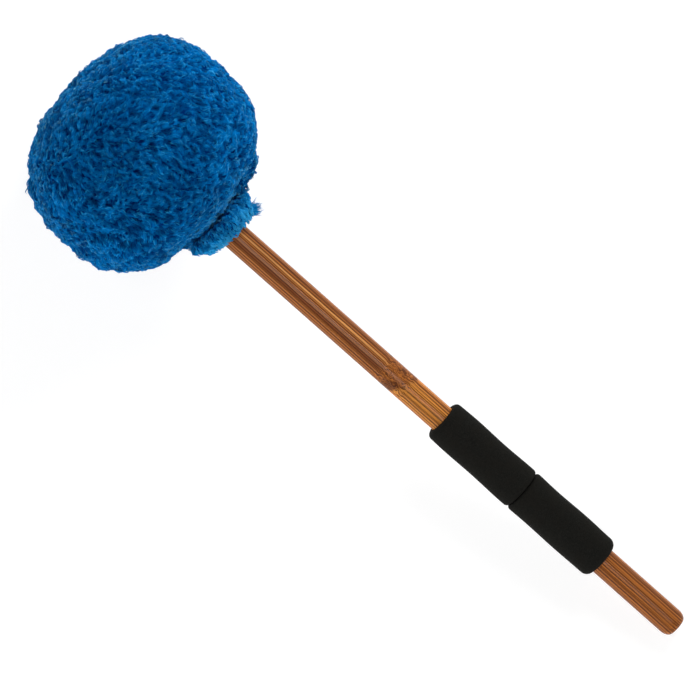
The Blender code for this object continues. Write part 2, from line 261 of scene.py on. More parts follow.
# %% [markdown]
# ## Speckle, shared by everything soft
#
# Foam has open cells, felt has matted fibres, and fleece has tone that drifts from patch to
# patch. All three are noise at a different scale, so they share one group: a coarse cloud, a
# fine grain, and a normal that the fine grain dents.

# %% Group: speckle
speckle, arriving, leaving = new_group(
    "soft_speckle",
    {
        "Place": "Vector",
        "Coarse size": ("Float", 12.0),
        "Fine size": ("Float", 0.8),
        "Dent": ("Float", 0.1),
    },
    {"Cloud": "Float", "Grain": "Float", "Normal": "Vector"},
)
for size_name, mask_name in (("Coarse size", "Cloud"), ("Fine size", "Grain")):
    per_mm = math_node(speckle, "DIVIDE", 1.0, arriving[size_name])
    mask = noise(speckle, arriving["Place"], per_mm, detail=3.0, roughness=0.6)
    speckle.links.new(mask, leaving[mask_name])
speckle.links.new(dented(speckle, mask, arriving["Dent"]), leaving["Normal"])

# Noise seldom leaves these bounds, so a step between them gives patches with soft edges.
PATCHY = (0.35, 0.65)

# %% [markdown]
# ## Shapes turned on the handle's axis
#
# Nearly every piece is round about the handle, so it starts as an outline of (radius, height)
# pairs that the Screw modifier turns. The outline runs down the outer side, which makes the
# faces point out. `finished` then gives a piece its material and its body.

# %% Helpers for turned pieces
GAP = 0.3


def arc(centre, round_radius, start, end, steps):
    """Points on a round, from one angle to another in degrees, 0 outwards and 90 upwards."""
    return [
        (centre[0] + round_radius * math.cos(angle), centre[1] + round_radius * math.sin(angle))
        for angle in np.radians(np.linspace(start, end, steps + 1))
    ]


def distances_along(line):
    """How far each point of a line lies from its start, measured along the line."""
    return np.concatenate([[0.0], np.cumsum(np.linalg.norm(np.diff(line, axis=0), axis=1))])


def evenly(outline, spacing):
    """The same outline with points a set distance apart, as an array."""
    corners = np.array(outline)
    run = distances_along(corners)
    stations = np.linspace(0.0, run[-1], int(run[-1] / spacing) + 2)
    return np.column_stack([np.interp(stations, run, corners[:, axis]) for axis in (0, 1)])


def turned(name, outline, sides, closed=False):
    """A mesh object turned on z from its outline, in the mallet's millimetres."""
    count = len(outline)
    edges = [(start, start + 1) for start in range(count - 1)]
    if closed:
        edges.append((count - 1, 0))
    mesh = bpy.data.meshes.new(name)
    mesh.from_pydata([(across, 0.0, up) for across, up in outline], edges, [])
    piece = bpy.data.objects.new(name, mesh)
    bpy.context.scene.collection.objects.link(piece)
    turn = piece.modifiers.new("turn", "SCREW")
    turn.axis = "Z"
    turn.steps = turn.render_steps = sides
    turn.use_merge_vertices = True
    turn.merge_threshold = MM
    bpy.context.view_layer.update()
    graph = bpy.context.evaluated_depsgraph_get()
    made = bpy.data.meshes.new_from_object(piece.evaluated_get(graph))
    piece.modifiers.clear()
    piece.data = made
    return piece


def corners_of(piece):
    """A mesh's vertices as an array."""
    found = np.empty(len(piece.data.vertices) * 3)
    piece.data.vertices.foreach_get("co", found)
    return found.reshape(-1, 3)


def finished(piece, points, material, slot, *nodes):
    """Sets a piece's points in place, gives it material and body, and counts its faces; its slot is
    not used.
    """
    piece.data.vertices.foreach_set("co", placed(points).ravel())
    piece.data.update()
    piece.data.shade_smooth()
    piece.data.materials.clear()
    piece.data.materials.append(material)
    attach(piece, "root")
    if nodes:
        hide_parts(*nodes)
    print(f"{piece.name}: {len(piece.data.polygons)} faces")
    return piece


# %% [markdown]
# ## The fleece cover: its skin
#
# The cover is one bag of fleece. Its skin follows the padding, dives into the groove where the
# cord binds it, and swells again into the collar, pleated because a wide bag is drawn in to a
# thin neck. The pile stands on this skin, so the skin lies a pile's depth below the surface that
# is seen. The same formulas as in the construction model shape it, at a much finer spacing.

# %% Sizes of the cover
HEAD_RADIUS = 66.3
WIDEST_AT = 400.0
CROWN_HEIGHT = 57.8
UNDERSIDE_DEPTH = 50.2
CROWN_POWER = 2.6
UNDERSIDE_POWER = 2.55
COVER_THICKNESS = 6.4
HANDLE_RADIUS = 7.95
GATHER_RADIUS = 26.0
GROOVE_RADIUS = 11.6
GROOVE_TOP = 351.8
GROOVE_FLOOR = 344.0
COLLAR_PIVOT_RADIUS = 13.5
CREST_CENTRE = (17.9, 345.6)
CREST_ROUND = 4.3
HEM_CENTRE = (15.3, 337.8)
HEM_ROUND = 2.8
HEM_DISH = 1.6
PLEATS = 6
TOP_PLEAT_WIDENING = 0.38
PLEAT_SWELL = 0.55
PLEAT_MEAN = 0.72
FURROW_DEPTH = 1.8
FURROW_REACH = 50.0
HEM_SLANT = 1.2

NECK_LEVEL = GROOVE_FLOOR + CREST_ROUND
HEM_FLOOR = HEM_CENTRE[1] - HEM_ROUND + HEM_DISH
HEAD_PILE = 2.4
COLLAR_PILE = 1.5

# %% Outline of the skin
SKIN_SPACING = 1.0
SKIN_SIDES = 320
LINING_SPACING = 3.0
QUARTER_STEPS = 90
CREST_STARTS = 200
HEM_STARTS = -15
HEM_ENDS = -120


def blunt_quarter(radius, height, power, inner_radius=0.0):
    """A quarter of a superellipse, from its widest point towards the axis."""
    last = math.acos((inner_radius / radius) ** (power / 2))
    angles = np.linspace(0.0, last, QUARTER_STEPS + 1)
    across = radius * np.cos(angles).clip(0.0) ** (2 / power)
    across[-1] = inner_radius
    return across, height * np.sin(angles) ** (2 / power)


def head_outline(inset, inner_radius):
    """The blunt drum of the head from its crown to its underside, set in evenly."""
    radius = HEAD_RADIUS - inset
    across, up = blunt_quarter(radius, CROWN_HEIGHT - inset, CROWN_POWER)
    crown = [(a, WIDEST_AT + u) for a, u in zip(across[::-1], up[::-1])]
    across, up = blunt_quarter(radius, UNDERSIDE_DEPTH - inset, UNDERSIDE_POWER, inner_radius)
    return crown + [(a, WIDEST_AT - u) for a, u in zip(across[1:], up[1:])]


def skin_outline():
    """The outer side of the cover's skin: head, groove, collar and rolled hem."""
    outline = head_outline(HEAD_PILE, GATHER_RADIUS)
    outline += [(GROOVE_RADIUS, GROOVE_TOP - GAP), (GROOVE_RADIUS, GROOVE_FLOOR)]
    outline += arc(CREST_CENTRE, CREST_ROUND - COLLAR_PILE, CREST_STARTS, HEM_STARTS, steps=12)
    outline += arc(HEM_CENTRE, HEM_ROUND - COLLAR_PILE, HEM_STARTS, HEM_ENDS, steps=6)
    outline.append((HANDLE_RADIUS + 4 * GAP, HEM_FLOOR))
    return evenly(outline, SKIN_SPACING)


def lining_outline():
    """The inner side of the cover, from the hem up the handle and over the padding."""
    inner = HANDLE_RADIUS + GAP
    outline = [(inner, HEM_FLOOR + GAP)]
    outline += head_outline(COVER_THICKNESS, inner)[::-1]
    return evenly(outline, LINING_SPACING)


skin_line = skin_outline()
lining_line = lining_outline()
print(f"the skin's outline is {len(skin_line)} points, its lining {len(lining_line)}")

# %% [markdown]
# ## Pleats and furrows at the neck
#
# A wide bag drawn in to a thin neck has to fold. `gathered` draws the round shape into furrows
# above the cord and lobes below it, both from one wave round the handle. It works on arrays of
# points, because the pile uses it as well as the skin.

# %% Pleats


def smooth_step(low, high, values):
    """Rises from 0 to 1 between two values, level at both ends."""
    share = np.clip((values - low) / (high - low), 0.0, 1.0)
    return share * share * (3 - 2 * share)


def pleat(angle):
    """How full the gathered fleece stands at an angle: 1 on a pleat, 0 in the fold beside it."""
    return np.abs(np.cos(PLEATS / 2 * (angle - TOP_PLEAT_WIDENING * np.sin(angle))))


def gathered(points):
    """Points of the round cover, drawn into furrows above the cord and lobes below it."""
    x, y, z = points.T
    across = np.hypot(x, y)
    angle = np.arctan2(y, x)
    above_cord = z > CREST_CENTRE[1] + CREST_ROUND + GAP
    near_neck = 1 - smooth_step(GATHER_RADIUS, FURROW_REACH, across)
    near_neck = near_neck * smooth_step(COLLAR_PIVOT_RADIUS, GATHER_RADIUS, across)
    furrow = FURROW_DEPTH * (1 - pleat(angle)) * near_neck * (z < WIDEST_AT)
    swell = np.maximum(1 + PLEAT_SWELL * (pleat(angle) - PLEAT_MEAN), 0.0)
    past_pivot = np.maximum(across - COLLAR_PIVOT_RADIUS, 0.0)
    drawn = np.minimum(across, COLLAR_PIVOT_RADIUS) + past_pivot * swell
    below_crest = 1 - smooth_step(HEM_CENTRE[1], GROOVE_FLOOR, z)
    slant = HEM_SLANT * np.sin(angle) * below_crest * (across > GROOVE_RADIUS)
    scale = np.where(above_cord, 1.0, drawn / np.maximum(across, GAP))
    return np.column_stack([x * scale, y * scale, np.where(above_cord, z + furrow, z - slant)])


# %% [markdown]
# ## The lumps of a stuffed bag
#
# No stuffed head is quite round. `stuffed` moves the skin in and out by a few slow waves, fixed
# by a seed, shears it a little, swells it beside the collar, and presses in the shallow dent
# that the real head shows near its lower edge. A sum of waves in all directions is smooth, has
# no seam, and costs little on an array of points.

# %% Lumps
LUMP_SEED = 11
LUMP_WAVES = 9
LUMP_LENGTH = 55.0
LUMP_HEIGHT = 0.35
SKEW = 0.8
SKEW_LENGTH = 35.0
SHOULDER_BULGE = ((0.0, 31.0, 352.2), 11.0, 5.7)
LOW_SIDE_BULGE = ((0.0, -40.0, 353.0), 13.0, 2.2)
CREASE_FROM = (30.0, -56.0, 416.0)
CREASE_TO = (48.0, -37.0, 384.0)
CREASE_WIDTH = 5.0
CREASE_DEPTH = 1.7
NECK_FADE = 12.0


def slow_waves(points, seed, count, length):
    """A smooth field of about -1 to 1 over space, from waves of one length in all directions."""
    dice = np.random.default_rng(seed)
    directions = dice.normal(size=(count, 3))
    directions /= np.linalg.norm(directions, axis=1, keepdims=True)
    phases = dice.uniform(0, math.tau, count)
    return np.sin(points @ directions.T * math.tau / length + phases).sum(1) * math.sqrt(2 / count)


def beside_crease(points):
    """How far points lie from the crease that is pressed into the head's lower side."""
    start, end = np.array(CREASE_FROM), np.array(CREASE_TO)
    run = end - start
    share = np.clip((points - start) @ run / (run @ run), 0.0, 1.0)
    return np.linalg.norm(points - start - share[:, None] * run, axis=1)


def stuffed(points):
    """Points of the cover, moved in and out by the lumps of its stuffing."""
    from_middle = points - np.array((0.0, 0.0, WIDEST_AT))
    on_head = smooth_step(NECK_LEVEL, GROOVE_TOP + NECK_FADE, points[:, 2])
    outwards = from_middle / np.linalg.norm(from_middle, axis=1, keepdims=True)
    swell = LUMP_HEIGHT * slow_waves(points, LUMP_SEED, LUMP_WAVES, LUMP_LENGTH) * on_head
    swell = swell - CREASE_DEPTH * np.exp(-((beside_crease(points) / CREASE_WIDTH) ** 2))
    above_collar = smooth_step(NECK_LEVEL, GROOVE_TOP, points[:, 2])
    for centre, reach, height in (SHOULDER_BULGE, LOW_SIDE_BULGE):
        distance = np.linalg.norm(points - np.array(centre), axis=1)
        swell = swell + height * np.exp(-((distance / reach) ** 2)) * above_collar
    moved = points + outwards * swell[:, None]
    moved[:, 1] += SKEW * np.tanh((points[:, 2] - WIDEST_AT) / SKEW_LENGTH) * on_head
    return moved


# %% [markdown]
# ## Tufts: how the pile is grouped
#
# Curly fleece pile doesn't stand as single hairs. Fibres cling together in locks a millimetre
# or two wide, and locks crowd into tufts of four or five millimetres with a dark cleft between
# them. Centres for both are spread like the seeds of a sunflower: each next one turns by the
# golden angle, and its place along the outline is where the area so far says. That is even from
# the crown to the hem, with no search for free places. A little seeded scatter hides the order.
# A place on the skin is given by its run, the distance along the outline from the crown, and by
# its angle round the handle.

# %% Places on the skin
COLLAR_SHARE = 0.75
HEAD_FADE = (GROOVE_RADIUS + 3, GROOVE_RADIUS + 7)
COLLAR_FADE = (GROOVE_RADIUS + 1, GROOVE_RADIUS + 4)
NECK_COMBING = 0.6
NUDGE = 0.6

skin_run = distances_along(skin_line)
print(f"the skin runs {skin_run[-1]:.0f} mm from the crown to the handle under the hem")


def radius_at(run):
    """The skin's distance from the handle's axis at a place along its outline."""
    return np.interp(run, skin_run, skin_line[:, 0])


def height_at(run):
    """The skin's height along the handle at a place along its outline."""
    return np.interp(run, skin_run, skin_line[:, 1])


def pile_share(run):
    """How long the pile stands: full on the head, less on the collar, none in the groove."""
    up, across = height_at(run), radius_at(run)
    head = (up > NECK_LEVEL) * np.maximum(smooth_step(*HEAD_FADE, across), up > WIDEST_AT)
    collar = (up < NECK_LEVEL) * smooth_step(*COLLAR_FADE, across)
    return np.maximum(head, COLLAR_SHARE * collar)


def drawn_down(run):
    """How far the pile is combed towards the hem: all on the collar, half above it, then none."""
    up = height_at(run)
    near_neck = NECK_COMBING * (1 - smooth_step(GATHER_RADIUS, FURROW_REACH, radius_at(run)))
    return np.where(up < NECK_LEVEL, 1.0, near_neck * (up < WIDEST_AT))


def on_skin(run, angle):
    """Points of the skin at places along its outline and round it."""
    across = radius_at(run)
    points = np.column_stack([across * np.cos(angle), across * np.sin(angle), height_at(run)])
    return stuffed(gathered(points))


def unit(vectors):
    """The same vectors at length 1."""
    return vectors / np.maximum(np.linalg.norm(vectors, axis=-1, keepdims=True), 1e-9)


def skin_frame(run, angle):
    """Points on the skin with their outward, downward and roundward directions."""
    turn = NUDGE / np.maximum(radius_at(run), NUDGE)
    down = on_skin(run + NUDGE, angle) - on_skin(run - NUDGE, angle)
    around = on_skin(run, angle + turn) - on_skin(run, angle - turn)
    outwards = unit(np.cross(down, around))
    return on_skin(run, angle), outwards, unit(down), unit(around)


# %% Spreading tufts and locks over the skin
GOLDEN_ANGLE = math.pi * (3 - math.sqrt(5))
TUFT_SPACING = 2.9
LOCK_SPACING = 1.4
SCATTER = 0.35
AREA_STEPS = 4000
CROWN_MARGIN = 0.1
TUFT_SEED = 3
LOCK_SEED = 4
STROKE_WAY = np.array((0.0, 0.66, -0.75))
STROKE_WANDER = 0.65
STROKE_LENGTH = 42.0
STROKE_SEED = 31


def spread(spacing, seed):
    """Places along and round the skin, evenly spread by area and scattered a little."""
    stations = np.linspace(0.0, skin_run[-1], AREA_STEPS)
    furred = radius_at(stations) * (pile_share(stations) > 0)
    area = np.cumsum(furred) * math.tau * (stations[1] - stations[0])
    count = int(area[-1] / spacing**2)
    dice = np.random.default_rng(seed)
    order = np.arange(count)
    run = np.interp((order + 0.5) / count * area[-1], area, stations)
    angle = (order * GOLDEN_ANGLE) % math.tau
    run = run + dice.normal(0, SCATTER * spacing, count)
    radius = np.maximum(radius_at(run), spacing)
    angle = angle + dice.normal(0, SCATTER * spacing, count) / radius
    return run.clip(CROWN_MARGIN, skin_run[-1]), angle


def stroke_angle(points, downward, roundward):
    """The way the pile is stroked, as an angle on the skin that wanders about one main way."""
    main = np.arctan2(downward @ STROKE_WAY, roundward @ STROKE_WAY)
    return main + STROKE_WANDER * slow_waves(points, STROKE_SEED, LUMP_WAVES, STROKE_LENGTH)


def along_skin(roundward, downward, angle):
    """Directions on the skin at an angle from roundward towards downward."""
    return roundward * np.cos(angle)[:, None] + downward * np.sin(angle)[:, None]


tuft_run, tuft_angle = spread(TUFT_SPACING, TUFT_SEED)
lock_run, lock_angle = spread(LOCK_SPACING, LOCK_SEED)
tuft_count, lock_count = len(tuft_run), len(lock_run)
print(f"{tuft_count} tufts, {lock_count} locks")

# %% [markdown]
# ## The relief of the tufts
#
# Seen from a step away, fleece is a field of small domes with creases between them. A tuft is
# longer than it is wide and a little bowed, so it is entered in a search tree as five points
# along a shallow curve, and the dome falls away with the distance from the nearest of them.
# Where two domes meet there is a crease by itself. Each tuft has its own height. The field is
# warped by short waves, so that no dome is regular, and a few long folds run across it where a
# slow wave passes through nil.

# %% Placing the tufts
TUFT_POINTS = (-1.8, -0.9, 0.0, 0.9, 1.8)
TUFT_BOW = 0.12
TUFT_HEIGHTS = (0.45, 1.0)
OWN_WAY = 0.45
PILE_SEED = 21

pile_dice = np.random.default_rng(PILE_SEED)
tuft_places, tuft_out, tuft_down, tuft_round = skin_frame(tuft_run, tuft_angle)
tuft_heading = stroke_angle(tuft_places, tuft_down, tuft_round)
tuft_heading = tuft_heading + pile_dice.normal(0, OWN_WAY, tuft_count)
tuft_high = pile_dice.uniform(*TUFT_HEIGHTS, tuft_count)
tuft_tone = pile_dice.uniform(0, 1, tuft_count)
tuft_axis = along_skin(tuft_round, tuft_down, tuft_heading)
tuft_bow = along_skin(tuft_round, tuft_down, tuft_heading + math.pi / 2)
tuft_bow = tuft_bow * pile_dice.normal(0, TUFT_BOW, (tuft_count, 1))
tuft_tree = kdtree.KDTree(len(TUFT_POINTS) * tuft_count)
for offset in TUFT_POINTS:
    for number, place in enumerate(tuft_places + offset * tuft_axis + offset**2 * tuft_bow):
        tuft_tree.insert(place, number)
tuft_tree.balance()
print(f"{len(TUFT_POINTS) * tuft_count} points in the search tree")

# %% Relief of the tufts
TUFT_REACH = 1.45
TUFT_RISE = 1.7
STEEPEST = 0.6
WARP = 0.9
WARP_LENGTH = 7.0
WARP_SEEDS = (51, 52, 53)
FOLD_LENGTH = 17.0
FOLD_SHARPNESS = 0.3
FOLD_DEPTH = 0.4
FOLD_SEEDS = (41, 43)


def no_steeper(slants):
    """The same slants, the steep ones cut back to the steepest that looks right."""
    steep = np.linalg.norm(slants, axis=1, keepdims=True)
    return slants / np.maximum(steep / STEEPEST, 1.0)


def tuft_relief(points):
    """Each point's nearest tuft, how high its dome stands there, 0 to 1, and how it leans."""
    sway = [slow_waves(points, seed, LUMP_WAVES, WARP_LENGTH) for seed in WARP_SEEDS]
    swayed = points + WARP * np.column_stack(sway)
    found = [tuft_tree.find(point) for point in swayed]
    middle = np.array([middle for middle, _, _ in found])
    number = np.array([number for _, number, _ in found])
    distance = np.array([distance for _, _, distance in found])
    dome = np.clip(1 - (distance / TUFT_REACH) ** 2, 0.0, 1.0) * tuft_high[number]
    for seed in FOLD_SEEDS:
        fold = slow_waves(points, seed, LUMP_WAVES, FOLD_LENGTH)
        dome = dome * (1 - FOLD_DEPTH * np.exp(-((fold / FOLD_SHARPNESS) ** 2)))
    lean = (swayed - middle) * (2 * TUFT_RISE / TUFT_REACH**2 * tuft_high[number])[:, None]
    return number, dome, no_steeper(lean)


# %% [markdown]
# ## Ridges wider than a tuft
#
# Handled fleece also stands in low curved ridges a few tufts wide, which give the head its
# uneven edge. The size of a slow wave, taken without its sign, does that: it is round on top
# and has a crease wherever the wave changes sign. Its slope turns the way that the pile faces.

# %% Ridges
RIDGE_SEED = 91
RIDGE_LENGTH = 19.0
RIDGE_HEIGHT = 0.85
RIDGE_LEVEL = 0.65
SLOPE_STEP = 0.3


def ridge_height(points):
    """How much higher or lower the pile stands at points."""
    wave = slow_waves(points, RIDGE_SEED, LUMP_WAVES, RIDGE_LENGTH)
    return RIDGE_HEIGHT * (np.abs(wave) - RIDGE_LEVEL)


def ridges(points):
    """The height of the ridges at points, and how steeply it changes there in x, y and z."""
    height = ridge_height(points)
    slope = [(ridge_height(points + SLOPE_STEP * axis) - height) / SLOPE_STEP for axis in np.eye(3)]
    return height, np.column_stack(slope)


def fullness(run):
    """How far the ridges show at a place along the outline: none on the combed collar."""
    return pile_share(run) * (drawn_down(run) < 1)


# %% [markdown]
# ## The colour of fleece
#
# Dyed polyester fleece has a deep blue body, patchy in tone, and its colour carries painted shade
# and painted light: darker in the clefts and between fibres, clearer on high domes and lifted
# locks. Two numbers are stored on each vertex: its share of painted light, and its own tone,
# which keeps neighbouring strands apart. The skin and the pile share the recipe, and only the
# pile has the sheen of fine fibres.

# %% Material: fleece, backing and pile
# FLEECE_DEEP_AND_SHADE is both the deep tone of the patches and the painted shade of the clefts.
FLEECE_DEEP_AND_SHADE = rgb(0, 40, 96)
FLEECE_BODY = rgb(0, 88, 164)
FLEECE_TIP = rgb(0, 132, 210)
FLEECE_PALE = rgb(50, 166, 226)
SHEEN_TINT = (0.28, 0.83, 1.0, 1.0)
CLEAR_TONE = 0.8
PALE_TONE = 1.5
PATCH_SIZE = 30.0
PATCH_DEPTH = 0.3


def vertex_number(tree, name):
    """A number stored on the vertices, as a mask."""
    return add_node(tree, "ShaderNodeAttribute", attribute_name=name).outputs["Fac"]


def fleece_material(name, fully_shaded_at, fully_lit_at, sheen):
    """Dyed polyester fleece, patchy in tone, painted dark as shade in its clefts and light on raised
    locks.
    """
    material, tree, shader = new_material(name, roughness=0.9, specular=0.0)
    patches = place_group(tree, speckle, {"Place": mallet_point(tree), "Coarse size": PATCH_SIZE})
    tone = vertex_number(tree, "tone")
    body = blend_colours(tree, tone, FLEECE_BODY, FLEECE_TIP)
    body = blend_colours(tree, step_up(tree, tone, CLEAR_TONE, PALE_TONE), body, FLEECE_PALE)
    patchy = product(tree, step_up(tree, patches["Cloud"], 0.3, 0.7), PATCH_DEPTH)
    worn = blend_colours(tree, patchy, body, FLEECE_DEEP_AND_SHADE)
    # Painted shade and light: a low share of painted light blends the colour towards the shade tone.
    lit = step_up(tree, vertex_number(tree, "painted_light"), fully_shaded_at, fully_lit_at)
    colour = blend_colours(tree, lit, FLEECE_DEEP_AND_SHADE, worn)
    tree.links.new(colour, shader.inputs["Base Color"])
    shader.inputs["Sheen Weight"].default_value = sheen
    shader.inputs["Sheen Roughness"].default_value = 0.3
    shader.inputs["Sheen Tint"].default_value = SHEEN_TINT
    return material


fleece_skin = fleece_material("fleece_skin", fully_shaded_at=0.0, fully_lit_at=1.2, sheen=0.0)
fleece_pile = fleece_material("fleece_pile", fully_shaded_at=-0.1, fully_lit_at=0.9, sheen=0.36)

# %% [markdown]
# ## The skin as a mesh
#
# The outline of the skin and its lining make one closed bag. It is turned, drawn into pleats,
# lumped, and raised a little under each tuft and ridge, so that the clefts between tufts are
# real hollows that stay dark under soft light.

# %% Skin of the cover
SKIN_TONE = 0.3


def float_attribute(mesh, name, values):
    """Stores one number for each vertex of a mesh."""
    mesh.attributes.new(name, "FLOAT", "POINT").data.foreach_set("value", values.astype(np.float32))


cover = turned("fleece_cover_skin", np.vstack([skin_line, lining_line]), SKIN_SIDES)
shaped = stuffed(gathered(corners_of(cover)))
tuft_number, dome, _ = tuft_relief(shaped)
rise = TUFT_RISE * pile_share(tuft_run)[tuft_number] * dome
rise = rise + fullness(tuft_run)[tuft_number] * ridge_height(shaped)
shaped = shaped + tuft_out[tuft_number] * rise[:, None]
# The skin is painted darker in the clefts between domes: painted shade.
float_attribute(cover.data, "painted_light", dome)
float_attribute(cover.data, "tone", np.full(len(shaped), SKIN_TONE))
finished(cover, shaped, fleece_skin, "fleece", "fleece_cover")

# %% [markdown]
# ## The character of each lock
#
# A lock lies over in its tuft's direction and curls to one side like a comma. On the collar all
# locks are combed towards the hem and are paler there, partly because the fibres are worn open
# and partly as painted light against the shade of the head. In the crease over the collar they
# stand up instead, and fill it. Each lock draws its length, its heading, its curl, its lift and
# its tone from the same dice, so the pile is the same each time.

# %% Drawing the locks
LOCK_SIZES = (0.7, 1.2)
LOCK_OWN_WAY = 0.3
CURL = 1.0
COMBED_OUT = 0.6
LOCK_LIFT = 0.6
LEAST_LIFT = 0.6
LIFT_SPREAD = 0.5
MOST_LIFT = 2.6
BEND = 2.7
BEND_SPREAD = 0.35
LEAST_BEND = 1.6
DOWNWARDS = math.pi / 2
CREASE_REACH = 3.5
CREASE_LIFT = 2.4
CREST_SHARE = 0.5

lock_places, lock_out, lock_down, lock_round = skin_frame(lock_run, lock_angle)
lock_tuft = tuft_relief(lock_places)[0]
lock_size = pile_share(lock_run) * pile_dice.uniform(*LOCK_SIZES, lock_count)
combed = drawn_down(lock_run)
# hemward: how far towards the hem a collar lock lies; it sets its paler wear and its painted light.
hemward = smooth_step(CREST_CENTRE[1], HEM_CENTRE[1], lock_places[:, 2])
hemward = (combed == 1) * (CREST_SHARE + (1 - CREST_SHARE) * hemward)
lock_heading = tuft_heading[lock_tuft]
lock_heading = lock_heading + ((DOWNWARDS - lock_heading + math.pi) % math.tau - math.pi) * combed
lock_heading = lock_heading + pile_dice.normal(0, LOCK_OWN_WAY, lock_count)
lock_curl = pile_dice.normal(0, CURL, lock_count) * (1 - COMBED_OUT * combed)
lock_phase = pile_dice.uniform(0, math.tau, lock_count)
lifted = (LEAST_LIFT + pile_dice.exponential(LIFT_SPREAD, lock_count)).clip(0.0, MOST_LIFT)
in_crease = np.exp(-(((lock_places[:, 2] - GROOVE_TOP) / CREASE_REACH) ** 2))
in_crease = in_crease * (np.hypot(lock_places[:, 0], lock_places[:, 1]) < GATHER_RADIUS)
lock_lift = LOCK_LIFT * lock_size * lifted + CREASE_LIFT * in_crease
lock_bend = pile_dice.normal(BEND, BEND_SPREAD, lock_count).clip(LEAST_BEND, math.pi)
lock_tone = 0.5 * tuft_tone[lock_tuft] + 0.5 * pile_dice.uniform(0, 1, lock_count)
print(f"{np.count_nonzero(combed == 1)} of {lock_count} locks are combed towards the hem")

# %% [markdown]
# ## The path of each lock
#
# A lock is draped over the relief: at each step along it, the dome and the ridge below say how
# high it lies. How high it lies also sets its painted light, which the colour uses: high parts
# are painted lighter, and low parts are painted dark as shade.
# The way that the dome leans there is kept as well, because the strands will face that way.

# %% Growing the locks
STRAND_RINGS = 5
LOCK_LENGTH = 5.0
ROOT_DEPTH = 0.3
CRIMP = 0.5
STRAIGHT_PART = 0.3
# Shares of painted light: more on high domes, on lifted arches and on the collar's locks.
DOME_LIGHT = 0.9
ARCH_LIGHT = 0.3
COLLAR_LIGHT = 0.34

stations = np.linspace(0.0, 1.0, STRAND_RINGS)
step = LOCK_LENGTH * lock_size / (STRAND_RINGS - 1)
travelled = np.zeros((lock_count, 3))
lock_rings, light_rings, lean_rings = [], [], []
for share in stations:
    flat_place = lock_places + travelled
    _, dome, lean = tuft_relief(flat_place)
    ridge, slope = ridges(flat_place)
    arch = np.sin(lock_bend * share)
    rise = TUFT_RISE * pile_share(lock_run) * dome + lock_lift * arch
    rise = rise - ROOT_DEPTH * (1 - share) ** 3
    rise = rise + fullness(lock_run) * ridge * min(1.0, 2 * share)
    lock_rings.append(flat_place + lock_out * rise[:, None])
    light_rings.append((DOME_LIGHT * dome + ARCH_LIGHT * arch + COLLAR_LIGHT * hemward).clip(0.0, 1.0))
    lean_rings.append(unit(lock_out + no_steeper(lean - fullness(lock_run)[:, None] * slope)))
    crimped = CRIMP * np.sin(math.tau * share + lock_phase)
    turn = lock_heading + lock_curl * (share - STRAIGHT_PART) + crimped
    travelled = travelled + along_skin(lock_round, lock_down, turn) * step[:, None]
print(f"the tips of the locks lie {np.linalg.norm(travelled, axis=1).mean():.1f} mm from their roots")

# %% [markdown]
# ## Strands
#
# The strands of a lock follow its path side by side and draw together towards its tip. A strand
# is a closed three-sided spike. Flat-lying hair is lit as one soft surface and not as thin rods,
# so its vertices face out from the fleece and turn only a little towards their own side. Without
# that, the pile looks like metal wool. All strands are worked out at once on arrays, because so
# many would take minutes one by one, and they are kept in pieces of a size that is easy to handle.

# %% Strands side by side along each lock
STRANDS_PER_LOCK = 6
ROOT_APART = 0.42
APART_UPWARDS = 0.12
DRAWN_TOGETHER = 0.5

strand_lock = np.repeat(np.arange(lock_count), STRANDS_PER_LOCK)
strand_count = len(strand_lock)
sideways = pile_dice.normal(0, ROOT_APART, (strand_count, 2))
upwards = pile_dice.normal(0, APART_UPWARDS, strand_count)
apart = (
    lock_round[strand_lock] * sideways[:, :1]
    + lock_down[strand_lock] * sideways[:, 1:]
    + lock_out[strand_lock] * upwards[:, None]
)
closer = 1 - DRAWN_TOGETHER * stations**2
paths = np.stack(lock_rings, axis=1)[strand_lock] + apart[:, None, :] * closer[None, :, None]
painted_light = np.stack(light_rings, axis=1)[strand_lock]
outward = np.stack(lean_rings, axis=1)[strand_lock]
strand_lengths = np.linalg.norm(np.diff(paths, axis=1), axis=2).sum(1)
print(f"{strand_count} strands, {strand_lengths.mean():.1f} mm long")

# %% Strands as closed spikes
STRAND_RADIUS = 0.18
STRAND_SIZES = (0.7, 1.2)
TAPER = 0.5
ROUNDNESS = 0.45
CROSS = np.radians((90.0, 210.0, 330.0))


def strand_triangles(rings):
    """Corner numbers of one spike: a cap at the root, three sides, and a point."""
    tip = 3 * (rings - 1)
    triangles = [(0, 1, 2)]
    for ring in range(rings - 2):
        low, high = 3 * ring, 3 * ring + 3
        for side in range(3):
            ahead = (side + 1) % 3
            triangles.append((low + side, high + ahead, low + ahead))
            triangles.append((low + side, high + side, high + ahead))
    last = 3 * (rings - 2)
    triangles += [(last + side, tip, last + (side + 1) % 3) for side in range(3)]
    return np.array(triangles)


def spikes(paths, outward, radius):
    """Vertices of every spike, ring by ring, then its point, and the way each vertex faces."""
    tangent = unit(np.gradient(paths, axis=1))
    side = unit(np.cross(tangent, outward))
    top = np.cross(side, tangent)
    thinner = 1 - TAPER * np.linspace(0.0, 1.0, paths.shape[1])[:-1] ** 2
    width = radius[:, None] * thinner[None, :]
    ring = (
        side[:, :-1, None, :] * np.cos(CROSS)[None, None, :, None]
        + top[:, :-1, None, :] * np.sin(CROSS)[None, None, :, None]
    )
    body = (paths[:, :-1, None, :] + ring * width[:, :, None, None]).reshape(len(paths), -1, 3)
    facing = (outward[:, :-1, None, :] + ROUNDNESS * ring).reshape(len(paths), -1, 3)
    points = np.concatenate([body, paths[:, -1:, :]], axis=1)
    return points, unit(np.concatenate([facing, outward[:, -1:, :]], axis=1))


print(f"a strand has {len(strand_triangles(STRAND_RINGS))} triangles")

